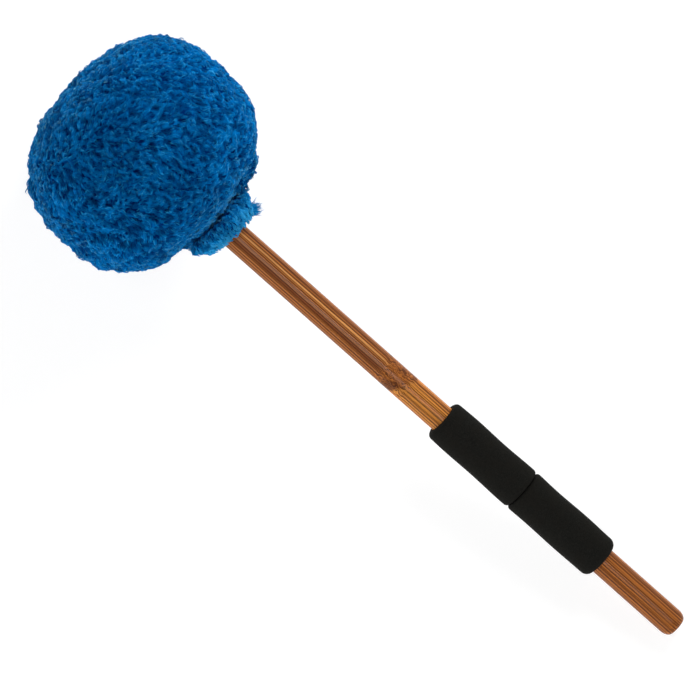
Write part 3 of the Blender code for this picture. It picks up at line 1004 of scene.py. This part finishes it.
# %% [markdown]
# ## From strands to pieces of pile
#
# A mesh of this size is filled from arrays, because adding faces one by one would take minutes.
# Each strand also needs a place on a texture, for programs that take baked pictures instead of
# these shaders. As its colour depends only on its tone and its painted light, those two numbers
# are that place, with a sliver of width so that no face is empty there.

# %% A piece of pile
UV_SLIVER = 0.006
STRIP_MARGIN = 0.02
STRIP_SPAN = 1 - 2 * STRIP_MARGIN


def texture_places(tones, air, rings):
    """A place on the texture for every vertex of some strands: tone across and painted light up."""
    sliver = UV_SLIVER * np.append(np.tile((-1.0, 0.0, 1.0), rings - 1), 0.0)
    across = STRIP_MARGIN + STRIP_SPAN * tones / PALE_TONE + np.tile(sliver, len(tones) // len(sliver))
    return np.column_stack([across, STRIP_MARGIN + STRIP_SPAN * air])


def pile_piece(name, points, facing, tone, painted_light):
    """One piece of pile from some strands, with its tones and its place on a texture."""
    count, rings = painted_light.shape
    corners = 3 * (rings - 1) + 1
    starts = np.arange(count) * corners
    triangles = (starts[:, None, None] + strand_triangles(rings)).reshape(-1, 3)
    mesh = bpy.data.meshes.new(name)
    mesh.vertices.add(count * corners)
    mesh.loops.add(triangles.size)
    mesh.polygons.add(len(triangles))
    mesh.loops.foreach_set("vertex_index", triangles.ravel().astype(np.int32))
    mesh.polygons.foreach_set("loop_start", np.arange(0, triangles.size, 3, dtype=np.int32))
    # air: each vertex's share of painted light, which darkens it as painted shade where it is low.
    air = np.hstack([np.repeat(painted_light[:, :-1], 3, axis=1), painted_light[:, -1:]]).ravel()
    tones = np.repeat(tone, corners)
    float_attribute(mesh, "painted_light", air)
    float_attribute(mesh, "tone", tones)
    places = texture_places(tones, air, rings)[triangles.ravel()]
    layer = mesh.uv_layers.new(name="OFBake")
    layer.data.foreach_set("uv", places.astype(np.float32).ravel())
    piece = bpy.data.objects.new(name, mesh)
    bpy.context.scene.collection.objects.link(piece)
    mesh.update(calc_edges=True)
    finished(piece, points.reshape(-1, 3), fleece_pile, "fleece", "fleece_cover")
    mesh.normals_split_custom_set_from_vertices(facing.reshape(-1, 3) @ np.array(TURN).T)


# %% The pile, in sectors round the handle
PILE_PIECES = 20
LOCK_TONE = 0.6
STRAY_TONE = 0.32
COLLAR_WEAR_AND_LIGHT = 0.9

strand_radius = STRAND_RADIUS * pile_dice.uniform(*STRAND_SIZES, strand_count)
spike_points, spike_facing = spikes(paths, outward, strand_radius)
strand_tone = LOCK_TONE * lock_tone[strand_lock] + pile_dice.exponential(STRAY_TONE, strand_count)
# On the collar the tone is raised, partly for worn fibres and partly as painted light.
strand_tone = (strand_tone + COLLAR_WEAR_AND_LIGHT * hemward[strand_lock]).clip(0.0, PALE_TONE)
sector = (lock_angle[strand_lock] % math.tau / math.tau * PILE_PIECES).astype(int)
for number in range(PILE_PIECES):
    some = sector == number
    name = f"fleece_pile_{number + 1}"
    pile_piece(name, spike_points[some], spike_facing[some], strand_tone[some], painted_light[some])

# %% [markdown]
# ## A frayed corner
#
# The hem is a cut edge, and at one corner of the collar it has begun to fray: a wisp of loose
# fibres stands out sideways. The fibres leave the hem close together and part towards their tips.

# %% Growing the frayed wisp
FRAY_SEED = 61
FRAY_FIBRES = 420
FRAY_ROOT = np.array((0.0, 14.6, 337.4))
FRAY_ROOT_SPREAD = np.array((2.0, 1.3, 1.5))
FRAY_WAY = np.array((0.1, 0.84, -0.5))
FRAY_LENGTH = 6.2
FRAY_REACHES = (0.4, 1.1)
FRAY_RADIUS = 0.22
FRAY_PARTING = 0.2
FRAY_CURL = 0.2
FRAY_LIMIT = 1.5

fray_dice = np.random.default_rng(FRAY_SEED)
strayed = fray_dice.normal(0, 1, (3, FRAY_FIBRES, 3)).clip(-FRAY_LIMIT, FRAY_LIMIT)
fray_root = FRAY_ROOT + strayed[0] * FRAY_ROOT_SPREAD
fray_way = FRAY_WAY + FRAY_PARTING * strayed[1]
fray_hook = FRAY_CURL * strayed[2]
fray_reach = FRAY_LENGTH * fray_dice.uniform(*FRAY_REACHES, (FRAY_FIBRES, 1))
rings = [fray_root + fray_reach * (fray_way * share + fray_hook * share**3) for share in stations]
fray_paths = np.stack(rings, axis=1)
fray_up = np.broadcast_to((1.0, 0.0, 0.0), fray_paths.shape)
fray_radius = FRAY_RADIUS * fray_dice.uniform(*STRAND_SIZES, FRAY_FIBRES)
fray_tone = fray_dice.uniform(CLEAR_TONE, PALE_TONE, FRAY_FIBRES)
# The wisp's fibres take the full share of painted light, so no painted shade.
fray_light = np.ones((FRAY_FIBRES, STRAND_RINGS))
pile_piece("fleece_fray", *spikes(fray_paths, fray_up, fray_radius), fray_tone, fray_light)

# %% [markdown]
# ## Grain that runs along a piece
#
# Bamboo and beech differ in colour and in the width of their lines, not in how the lines are
# made. One group draws both: noise squeezed across the grain and drawn out along it, after the
# place has wavered a little sideways. It gives broad strips, fine fibres and a normal in which
# the fibres can just be felt.

# %% Group: lengthwise grain
grain, arriving, leaving = new_group(
    "lengthwise_grain",
    {
        "Place": "Vector",
        "Strip width": ("Float", 3.0),
        "Fibre width": ("Float", 0.8),
        "Waver": ("Float", 0.3),
        "Dent": ("Float", 0.1),
    },
    {"Strip": "Float", "Fibre": "Float", "Across": "Float", "Normal": "Vector"},
)
WAVER_SCALE = (0.2, 0.2, 0.05)

slow = add_node(grain, "ShaderNodeMapping", {"Vector": arriving["Place"], "Scale": WAVER_SCALE})
drift = noise(grain, slow.outputs["Vector"], 1.0, detail=1.0)
sway = product(grain, math_node(grain, "SUBTRACT", drift, 0.5), arriving["Waver"])
parts = axes_of(grain, arriving["Place"])
swayed = math_node(grain, "ADD", parts["Y"], sway)
grain.links.new(swayed, leaving["Across"])
for width_name, mask_name, depth_scale, along_scale in (
    ("Strip width", "Strip", 0.12, 0.002),
    ("Fibre width", "Fibre", 1.0, 0.012),
):
    deep, along = product(grain, parts["X"], depth_scale), product(grain, parts["Z"], along_scale)
    per_mm = math_node(grain, "DIVIDE", 1.0, arriving[width_name])
    mask = noise(grain, place_at(grain, deep, swayed, along), per_mm, detail=2.0)
    grain.links.new(mask, leaving[mask_name])
grain.links.new(dented(grain, mask, arriving["Dent"]), leaving["Normal"])

# %% [markdown]
# ## The bamboo handle
#
# Strips of bamboo are glued side by side and turned round, so seen from above the joints are
# straight lines along the handle: a pale strip beside the middle, with darker ones to its sides.
# One strip has a node, where the stem once branched: the fibres wander, and one piece ends there
# in a dark smudge. From the node to the grip the wood is more golden. A satin varnish covers it.
#
# Noise alone gives lines of any width, and the real ones are fine and nearly even. So a ping-pong
# of the place across the handle rules them at one pitch, and noise only shifts and breaks them.
# At the node a second noise makes every line wander. A mask is worked out for each of these
# first, and the dyes are blended by the masks afterwards.

# %% Masks along and across the handle
GRIP_LENGTH = 60.2
REAR_GRIP_START = 57.2
NODE_AT = 214.0
NODE_LENGTH = 9.0
KNOTS_PER_MM = 0.25
KNOT_WANDER = 8.0
SMUDGE_END = 207.0
SMUDGE_LENGTH = 7.0
SMUDGE_EDGE = 1.5
SMUDGE_SIDE = (-3.5, -0.5)
SKEWED_END = 0.5


def between(tree, value, low, high, soft):
    """A mask that is 1 between two values and fades over a soft edge at both."""
    rising = step_up(tree, value, low - soft, low + soft)
    falling = step_up(tree, value, high - soft, high + soft)
    return math_node(tree, "SUBTRACT", rising, falling)


bamboo, tree, shader = new_material("bamboo_varnished", roughness=0.27, specular=0.1)
place = mallet_point(tree)
parts = axes_of(tree, place)
at_node = between(tree, parts["Z"], NODE_AT - NODE_LENGTH, NODE_AT + NODE_LENGTH, NODE_LENGTH / 2)
knots = math_node(tree, "SUBTRACT", noise(tree, place, KNOTS_PER_MM, detail=2.0), 0.5)
wander = product(tree, product(tree, knots, KNOT_WANDER), at_node)
bent = place_at(tree, parts["X"], math_node(tree, "ADD", parts["Y"], wander), parts["Z"])
widths = {"Strip width": 3.0, "Fibre width": 0.7}
lines = place_group(tree, grain, {"Place": bent, "Waver": 0.6, "Dent": 0.06, **widths})
across = lines["Across"]
skewed = math_node(tree, "ADD", parts["Z"], product(tree, across, SKEWED_END))
past_node = opposite(tree, step_up(tree, skewed, SMUDGE_END - SMUDGE_EDGE, SMUDGE_END + SMUDGE_EDGE))
past_grips = step_up(tree, parts["Z"], REAR_GRIP_START, REAR_GRIP_START + 2 * GRIP_LENGTH)
before_node = opposite(tree, math_node(tree, "MAXIMUM", past_node, at_node))
smudge = between(tree, skewed, SMUDGE_END, SMUDGE_END + SMUDGE_LENGTH, SMUDGE_EDGE)
smudge = product(tree, smudge, opposite(tree, step_up(tree, across, *SMUDGE_SIDE)))

# %% Fine and dark lines
LINE_PITCH = 1.3
LINE_SHIFT = 2.0
LINE_EDGE = (0.14, 0.34)
LINE_BREAKS = (0.2, 0.5)
DARK_LINES = (6.1, 5.4, 4.4, 1.75, -0.9, -3.1, -5.1, -6.3)
DARK_LINE_WIDTH = 0.2
DARK_LINE_EDGE = 0.12
LINE_SHADE = 0.85
FIBRE_SHADE = 0.3

shifted = math_node(tree, "ADD", across, product(tree, lines["Strip"], LINE_SHIFT))
ruled = math_node(tree, "PINGPONG", shifted, LINE_PITCH / 2)
ruled = opposite(tree, step_up(tree, ruled, *LINE_EDGE))
ruled = product(tree, ruled, step_up(tree, lines["Fibre"], *LINE_BREAKS))
fibres = product(tree, step_up(tree, lines["Fibre"], 0.44, 0.6), FIBRE_SHADE)
shade = math_node(tree, "MAXIMUM", fibres, product(tree, ruled, LINE_SHADE))
for middle in DARK_LINES:
    low_side, high_side = middle - DARK_LINE_WIDTH, middle + DARK_LINE_WIDTH
    line = between(tree, across, low_side, high_side, DARK_LINE_EDGE)
    shade = math_node(tree, "MAXIMUM", shade, product(tree, line, LINE_SHADE))
print(f"{len(DARK_LINES)} dark lines, and fine ones every {LINE_PITCH} mm")

# %% Dyes of the bamboo
BROWNS = (rgb(150, 86, 35), rgb(172, 102, 45))
GOLDS = (rgb(192, 114, 44), rgb(212, 138, 60))
STRIPS = (
    (2.5, 4.0, rgb(204, 140, 78)),
    (-0.6, 0.9, rgb(140, 86, 46)),
    (-2.9, -1.1, rgb(122, 66, 31)),
)
STRIP_EDGE = 0.15
SMUDGE_SHARE = 0.5

patches = step_up(tree, lines["Strip"], *PATCHY)
brown, golden = (blend_colours(tree, patches, *dyes) for dyes in (BROWNS, GOLDS))
wood = blend_colours(tree, product(tree, past_node, past_grips), brown, golden)
for low_side, high_side, dye in STRIPS:
    strip = between(tree, across, low_side, high_side, STRIP_EDGE)
    wood = blend_colours(tree, product(tree, strip, before_node), wood, dye)
wood = blend_colours(tree, shade, wood, rgb(62, 28, 10))
wood = blend_colours(tree, product(tree, smudge, SMUDGE_SHARE), wood, rgb(60, 26, 12))
paint(tree, shader, wood, lines["Normal"])
print(f"the bamboo takes {len(tree.nodes)} nodes")

# %% Finishing the shaft


def refinish(name, material):
    """Gives a construction piece, whose shape stays as it is, its detailed material."""
    piece = frame["nodes"][name]
    piece.data.materials.clear()
    piece.data.materials.append(material)
    print(f"{name}: {material.name}")


refinish("bamboo_shaft", bamboo)

# %% [markdown]
# ## Foam grips
#
# Each grip is a length of closed-cell foam tube, stretched over the handle. Its surface is matt
# and nearly black, with fine cells, and its cut ends are rounded over.

# %% Material: black foam
FOAM_CELLS = (0.35, 0.7)

grip_foam, tree, shader = new_material("grip_foam", roughness=0.85, specular=0.06)
sizes = {"Coarse size": 9.0, "Fine size": 0.7, "Dent": 0.35}
cells = place_group(tree, speckle, {"Place": mallet_point(tree), **sizes})
spots = step_up(tree, cells["Grain"], *FOAM_CELLS)
cloudy = step_up(tree, cells["Cloud"], *FOAM_CELLS)
tone = blend_colours(tree, spots, rgb(13, 13, 11), rgb(24, 24, 21))
paint(tree, shader, blend_colours(tree, cloudy, tone, rgb(19, 18, 15)), cells["Normal"])

# %% Grips
GRIP_SIDES = 96
GRIP_SPACING = 0.9
SAG_SEED = 5
SAG_WAVES = 6
SAG_LENGTH = 24.0
SAG_DEPTH = 0.12


def make_grip(name, low, radii, rounds):
    """A foam tube over its construction solid, from its radii and rounds at low and high end."""
    high = low + GRIP_LENGTH
    outline = arc((radii[1] - rounds[1], high - rounds[1]), rounds[1], 90, 0, steps=10)
    outline += arc((radii[0] - rounds[0], low + rounds[0]), rounds[0], 0, -90, steps=10)
    outer = evenly(outline, GRIP_SPACING)
    inner = [(HANDLE_RADIUS + GAP, low), (HANDLE_RADIUS + GAP, high)]
    grip = turned(f"{name}_foam", np.vstack([outer, inner]), GRIP_SIDES, closed=True)
    points = corners_of(grip)
    across = np.hypot(points[:, 0], points[:, 1])
    outer_skin = smooth_step(HANDLE_RADIUS + 1, radii[1] - 1, across)
    sag = SAG_DEPTH * slow_waves(points, SAG_SEED, SAG_WAVES, SAG_LENGTH) * outer_skin
    points[:, :2] *= (1 + sag / across)[:, None]
    finished(grip, points, grip_foam, "grip_foam", name)


front_grip_start = REAR_GRIP_START + GRIP_LENGTH + GAP
make_grip("rear_grip", REAR_GRIP_START, radii=(12.9, 12.75), rounds=(4.5, 2.0))
make_grip("front_grip", front_grip_start, radii=(12.65, 12.35), rounds=(2.0, 2.8))

# %% [markdown]
# ## Inside the head: wood and steel
#
# The core is beech, turned from a blank whose grain runs along the handle, so it shows the same
# lengthwise lines as the bamboo, but pale. The weight, the washer and the screw are steel. A lathe
# leaves rings, so their tone and gloss vary with the distance from the axis and along it, and not
# round it.

# %% Materials: beech and turned steel
BEECH_PALE = (rgb(206, 168, 122), rgb(224, 192, 150))
BEECH_FLECK = rgb(150, 104, 66)
FLECK_SHARE = 0.6

core_wood, tree, shader = new_material("beech_turned", roughness=0.55, specular=0.3)
widths = {"Strip width": 5.0, "Fibre width": 0.5}
lines = place_group(tree, grain, {"Place": mallet_point(tree), "Waver": 2.0, "Dent": 0.12, **widths})
pale = blend_colours(tree, step_up(tree, lines["Strip"], *PATCHY), *BEECH_PALE)
flecks = product(tree, step_up(tree, lines["Fibre"], 0.5, 0.66), FLECK_SHARE)
paint(tree, shader, blend_colours(tree, flecks, pale, BEECH_FLECK), lines["Normal"])

RINGS_PER_MM = 2.5
STEEL_TONES = (rgb(150, 152, 155), rgb(196, 198, 200))
STEEL_GLOSS = 0.24
RING_GLOSS = 0.18
RING_DENT = 0.15

steel, tree, shader = new_material("steel_turned", roughness=0.3)
shader.inputs["Metallic"].default_value = 1.0
parts = axes_of(tree, mallet_point(tree))
squares = [product(tree, parts[axis], parts[axis]) for axis in ("X", "Y")]
from_axis = math_node(tree, "SQRT", math_node(tree, "ADD", *squares))
rings = noise(tree, place_at(tree, from_axis, parts["Z"], 0.0), RINGS_PER_MM, detail=2.0)
ring_tone = step_up(tree, rings, 0.3, 0.7)
ring_gloss = math_node(tree, "ADD", product(tree, ring_tone, RING_GLOSS), STEEL_GLOSS)
tree.links.new(ring_gloss, shader.inputs["Roughness"])
paint(tree, shader, blend_colours(tree, ring_tone, *STEEL_TONES), dented(tree, rings, RING_DENT))

refinish("wooden_core", core_wood)
for name in ("steel_weight", "head_washer", "head_screw"):
    refinish(name, steel)

# %% [markdown]
# ## Inside the head: felt and foam
#
# Felt and foam are soft, so they are made anew here with the outlines of the construction model
# and a slightly uneven surface. `subdivided` adds points to an outline's long sides and keeps its
# corners, and `uneven` moves the surface by a wave that stays well below the gap between pieces.

# %% Materials: wool felt and padding foam
FELT_TONES = (rgb(206, 202, 190), rgb(226, 223, 213))
# FELT_DENT_SHADE and FOAM_DENT_SHADE are painted shade for the dents of the grain.
FELT_DENT_SHADE = rgb(150, 146, 136)
FOAM_TONES = (rgb(222, 212, 176), rgb(236, 228, 200))
FOAM_DENT_SHADE = rgb(164, 148, 104)
DENT_SHADE_SHARE = 0.6


def speckled(name, coarse, fine, dent, tones, deep):
    """A matt soft material: two tones in clouds, with painted shade in the dents where its grain is
    deep.
    """
    material, tree, shader = new_material(name, roughness=0.9, specular=0.1)
    sizes = {"Coarse size": coarse, "Fine size": fine, "Dent": dent}
    mottled = place_group(tree, speckle, {"Place": mallet_point(tree), **sizes})
    cloudy = blend_colours(tree, step_up(tree, mottled["Cloud"], *PATCHY), *tones)
    # Painted shade: darker in the dents of the fine grain.
    shaded_dents = opposite(tree, step_up(tree, mottled["Grain"], 0.32, 0.5))
    colour = blend_colours(tree, product(tree, shaded_dents, DENT_SHADE_SHARE), cloudy, deep)
    paint(tree, shader, colour, mottled["Normal"])
    return material


wool_felt = speckled(
    "wool_felt", coarse=7.0, fine=0.45, dent=0.4, tones=FELT_TONES, deep=FELT_DENT_SHADE
)
padding_foam = speckled(
    "padding_foam", coarse=16.0, fine=1.0, dent=0.6, tones=FOAM_TONES, deep=FOAM_DENT_SHADE
)

# %% Functions for felt and foam
CORE_RADIUS = 26.0
CORE_ROUND = 6.0
SHOULDER_AT = 372.0 - GAP
STACK_TOP = 428.6 - GAP
FELT_THICKNESS = 5.2
FELT_DISC_THICKNESS = 7.0
FELT_ROUND = 1.5
FELT_OUTER = CORE_RADIUS + GAP + FELT_THICKNESS
DISC_HOLE_RADIUS = 9.3
SOFT_SPACING = 1.5
SOFT_SIDES = 160
SWELL_LENGTH = 9.0
SWELL_FADE = 6.0


def subdivided(outline, spacing):
    """The same outline with more points on its long sides, and every corner kept."""
    points = [outline[0]]
    for start, end in zip(outline, outline[1:]):
        count = max(1, round(math.dist(start, end) / spacing))
        shares = np.arange(1, count + 1)[:, None] / count
        points.extend(map(tuple, np.array(start) * (1 - shares) + np.array(end) * shares))
    return np.array(points)


def uneven(points, seed, depth):
    """Points moved towards or from the axis by a wave of a few millimetres."""
    across = np.hypot(points[:, 0], points[:, 1])
    swell = depth * slow_waves(points, seed, LUMP_WAVES, SWELL_LENGTH).clip(-1.0, 1.0)
    swell *= smooth_step(0.0, SWELL_FADE, across)
    moved = points.copy()
    moved[:, :2] *= (1 + swell / np.maximum(across, GAP))[:, None]
    return moved


def felt_ring(inner, low, high, low_round, high_round):
    """The closed outline of a felt ring, its outer corners rounded."""
    outline = arc((FELT_OUTER - high_round, high - high_round), high_round, 90, 0, steps=6)
    outline += arc((FELT_OUTER - low_round, low + low_round), low_round, 0, -90, steps=6)
    outline += [(inner, low), (inner, high), outline[0]]
    return subdivided(outline, SOFT_SPACING)[:-1]


def soft_piece(name, outline, material, slot, replaced, seed, depth=0.1, closed=True):
    """Turns a soft piece and makes it slightly uneven."""
    piece = turned(name, outline, SOFT_SIDES, closed=closed)
    finished(piece, uneven(corners_of(piece), seed, depth), material, slot, replaced)


# %% Felt and foam pieces
band_low = SHOULDER_AT + CORE_ROUND + 3 * GAP
band = felt_ring(CORE_RADIUS + GAP, band_low, STACK_TOP + GAP, FELT_ROUND, GAP)
soft_piece("felt_band_wool", band, wool_felt, "felt", "felt_band", seed=71)
disc_low = STACK_TOP + 2 * GAP
disc = felt_ring(DISC_HOLE_RADIUS, disc_low, disc_low + FELT_DISC_THICKNESS, GAP, FELT_ROUND)
soft_piece("felt_disc_wool", disc, wool_felt, "felt", "felt_disc", seed=72)

bore = HANDLE_RADIUS + GAP
room_low = SHOULDER_AT + GAP
room_high = disc_low + FELT_DISC_THICKNESS + GAP
room_radius = FELT_OUTER + GAP
rounded_to = room_low + CORE_ROUND + GAP
padding = head_outline(COVER_THICKNESS + GAP, bore)
padding.append((bore, room_low))
padding += arc((CORE_RADIUS - CORE_ROUND, rounded_to), CORE_ROUND + GAP, -90, 0, steps=8)
padding += [(room_radius, rounded_to), (room_radius, room_high), (0.0, room_high)]
padding = subdivided(padding, SOFT_SPACING)
soft_piece(
    "padding_body", padding, padding_foam, "padding_foam", "foam_padding",
    seed=73, depth=0.12, closed=False,
)

# %% [markdown]
# ## The binding cord
#
# Three turns of waxed cord lie in the groove and hold the gathered fleece. The cord is laid from
# three plies. Each ply follows the cord's own route at a small distance that turns steadily, and
# a circle carried along that line makes its surface. Plies that touch each other and fill the
# cord's thickness have radii in a fixed ratio: that of three coins inside a ring.

# %% The cord's route
CORD_RADIUS = 0.7
CORD_TURNS = 3
CORD_PITCH = 1.85
CORD_LAY = 3.0
PLIES = 3
PLY_RADIUS = CORD_RADIUS / (1 + 2 / math.sqrt(3))
PLY_OFFSET = CORD_RADIUS - PLY_RADIUS
PLY_SIDES = 8
CORD_STEPS = 340

turns = np.linspace(0.0, CORD_TURNS, CORD_TURNS * CORD_STEPS + 1)
lay_radius = GROOVE_RADIUS + GAP + CORD_RADIUS
route_angle = math.tau * turns
outwards = np.column_stack([np.cos(route_angle), np.sin(route_angle), np.zeros(len(turns))])
route = lay_radius * outwards
route[:, 2] = (GROOVE_TOP + GROOVE_FLOOR) / 2 + CORD_PITCH * (turns - CORD_TURNS / 2)
forwards = unit(np.gradient(route, axis=0))
beside = np.cross(forwards, outwards)
run = distances_along(route)
print(f"binding cord: {run[-1]:.0f} mm")


def around(angle):
    """Directions at an angle round the cord's route, from outwards."""
    return outwards * np.cos(angle)[:, None] + beside * np.sin(angle)[:, None]


# %% Material: waxed cord
CORD_BLUES = (rgb(12, 62, 118), rgb(22, 84, 146))
FLUFF_BLUE = rgb(70, 132, 186)
FLUFF_SHARE = 0.5

waxed_cord, tree, shader = new_material("waxed_cord", roughness=0.5, specular=0.3)
sizes = {"Coarse size": 5.0, "Fine size": 0.25, "Dent": 0.3}
threads = place_group(tree, speckle, {"Place": mallet_point(tree), **sizes})
dye = blend_colours(tree, step_up(tree, threads["Cloud"], *PATCHY), *CORD_BLUES)
fluff = product(tree, step_up(tree, threads["Grain"], 0.5, 0.7), FLUFF_SHARE)
paint(tree, shader, blend_colours(tree, fluff, dye, FLUFF_BLUE), threads["Normal"])

# %% Plies
circle = np.linspace(0.0, math.tau, PLY_SIDES, endpoint=False)
cord_points, cord_faces = [], []
for ply in range(PLIES):
    centre = route + PLY_OFFSET * around(math.tau * (run / CORD_LAY + ply / PLIES))
    rings = [centre + PLY_RADIUS * around(np.full(len(route), angle)) for angle in circle]
    start = ply * len(route) * PLY_SIDES
    cord_points.append(np.stack(rings, axis=1).reshape(-1, 3))
    corner = start + np.arange(len(route) * PLY_SIDES).reshape(len(route), PLY_SIDES)
    ahead = np.roll(corner, -1, axis=1)
    quads = np.stack([corner[:-1], ahead[:-1], ahead[1:], corner[1:]], axis=2).reshape(-1, 4)
    cord_faces += quads.tolist() + [corner[0, ::-1].tolist(), corner[-1].tolist()]

cord_mesh = bpy.data.meshes.new("binding_cord")
cord_points = np.vstack(cord_points)
cord_mesh.from_pydata(cord_points.tolist(), [], cord_faces)
cord = bpy.data.objects.new("binding_cord", cord_mesh)
bpy.context.scene.collection.objects.link(cord)
finished(cord, cord_points, waxed_cord, "waxed_cord", "neck_cord")

# %% [markdown]
# ## Floor, daylight and lamps
#
# A product picture is lit by large soft sources. The sky gives the even part. It is bright near
# the horizon and nearly dark overhead, so that its light comes in low over the pile and the
# hollows between tufts stay dark. A narrow strip hangs overhead, and a second one, which shows in
# gloss alone, draws the satin line along the handle. Two side lamps light the head and show in no
# gloss. The floor must look white and still hold the shadow: for the camera it glows and takes
# the rest from the lamps, and for every other ray it is plain white paint.

# %% Floor
FLOOR_SIZE = 8.0
FLOOR_AT = (0.0, 0.0, -0.0002)
FLOOR_GLOW = 0.78
GLOWING_SHARE = 0.35
PLAIN_SHARE = 0.8
WHITE = (1.0, 1.0, 1.0, 1.0)


def seen_directly(tree):
    """1 where the camera, or a mirror or glass, looks at this surface, and 0 for other light."""
    rays = add_node(tree, "ShaderNodeLightPath").outputs
    mirrored = math_node(tree, "MAXIMUM", rays["Is Glossy Ray"], rays["Is Transmission Ray"])
    return math_node(tree, "MAXIMUM", rays["Is Camera Ray"], mirrored)


def by_ray(tree, indirect, direct):
    """One shader for light on its way to other surfaces, and another for what is looked at."""
    shaders = {1: indirect.outputs[0], 2: direct.outputs[0]}
    return add_node(tree, "ShaderNodeMixShader", {0: seen_directly(tree), **shaders}).outputs[0]


def white_paint(tree, share):
    """Matt paint that throws back the same share of every colour."""
    return add_node(tree, "ShaderNodeBsdfDiffuse", {"Color": (share, share, share, 1.0)})


bpy.ops.mesh.primitive_plane_add(size=FLOOR_SIZE, location=FLOOR_AT)
floor = bpy.context.active_object
floor.name = "studio_floor"
floor_paint = bpy.data.materials.new("floor_paint")
floor_paint.use_nodes = True
tree = floor_paint.node_tree
tree.nodes.clear()
glow = add_node(tree, "ShaderNodeEmission", {"Color": WHITE, "Strength": FLOOR_GLOW})
thin = white_paint(tree, GLOWING_SHARE)
shown = add_node(tree, "ShaderNodeAddShader", {0: glow.outputs[0], 1: thin.outputs[0]})
either = by_ray(tree, indirect=white_paint(tree, PLAIN_SHARE), direct=shown)
add_node(tree, "ShaderNodeOutputMaterial", {"Surface": either})
floor.data.materials.append(floor_paint)
print(f"floor {FLOOR_SIZE:.0f} m wide")

# %% Sky
SKY_AT_HORIZON = 3.2
SKY_OVERHEAD = 0.05
SKY_FADE = 0.6

world = bpy.data.worlds.new("studio_sky")
bpy.context.scene.world = world
world.use_nodes = True
tree = world.node_tree
tree.nodes.clear()
direction = add_node(tree, "ShaderNodeTexCoord").outputs["Generated"]
fade = {"Value": axes_of(tree, direction)["Z"], "From Max": SKY_FADE}
fade.update({"To Min": SKY_AT_HORIZON, "To Max": SKY_OVERHEAD})
brightness = add_node(tree, "ShaderNodeMapRange", fade, interpolation_type="SMOOTHSTEP")
sky = {"Color": WHITE, "Strength": brightness.outputs["Result"]}
soft = add_node(tree, "ShaderNodeBackground", sky)
backdrop = add_node(tree, "ShaderNodeBackground", {"Color": WHITE, "Strength": 1.0})
either = by_ray(tree, indirect=soft, direct=backdrop)
add_node(tree, "ShaderNodeOutputWorld", {"Surface": either})
print(f"sky {SKY_AT_HORIZON} at the horizon, {SKY_OVERHEAD} overhead")

# %% Lamps


def softbox(name, place, aim, size, watts):
    """A rectangular lamp, hidden from the camera, that looks at a point."""
    data = bpy.data.lights.new(name, "AREA")
    data.shape = "RECTANGLE"
    data.size, data.size_y = size
    data.energy = watts
    lamp = bpy.data.objects.new(name, data)
    lamp.location = place
    lamp.rotation_mode = "QUATERNION"
    lamp.rotation_quaternion = (Vector(aim) - Vector(place)).to_track_quat("-Z", "Y")
    lamp.visible_camera = False
    bpy.context.scene.collection.objects.link(lamp)
    print(f"{name}: {watts} W")
    return lamp


strip_place, satin_place = (0.0, -0.16, 1.3), (0.0, 0.09, 1.29)
strip_aim, satin_aim, head_aim = (0.0, -0.16, 0.0), (0.0, 0.09, 0.0), (-0.1, 0.0, 0.06)
softbox("overhead_strip", strip_place, strip_aim, size=(1.4, 0.16), watts=3.0)
satin = softbox("satin_strip", satin_place, satin_aim, size=(1.4, 0.22), watts=14.0)
satin.visible_diffuse = False
key = softbox("key_softbox", (-0.35, 1.25, 1.0), head_aim, size=(0.6, 0.6), watts=15.0)
fill = softbox("low_fill", (0.3, -1.3, 0.4), head_aim, size=(0.8, 0.4), watts=7.4)
for lamp in (key, fill):
    lamp.visible_glossy = False

bpy.context.scene.view_settings.view_transform = "Standard"
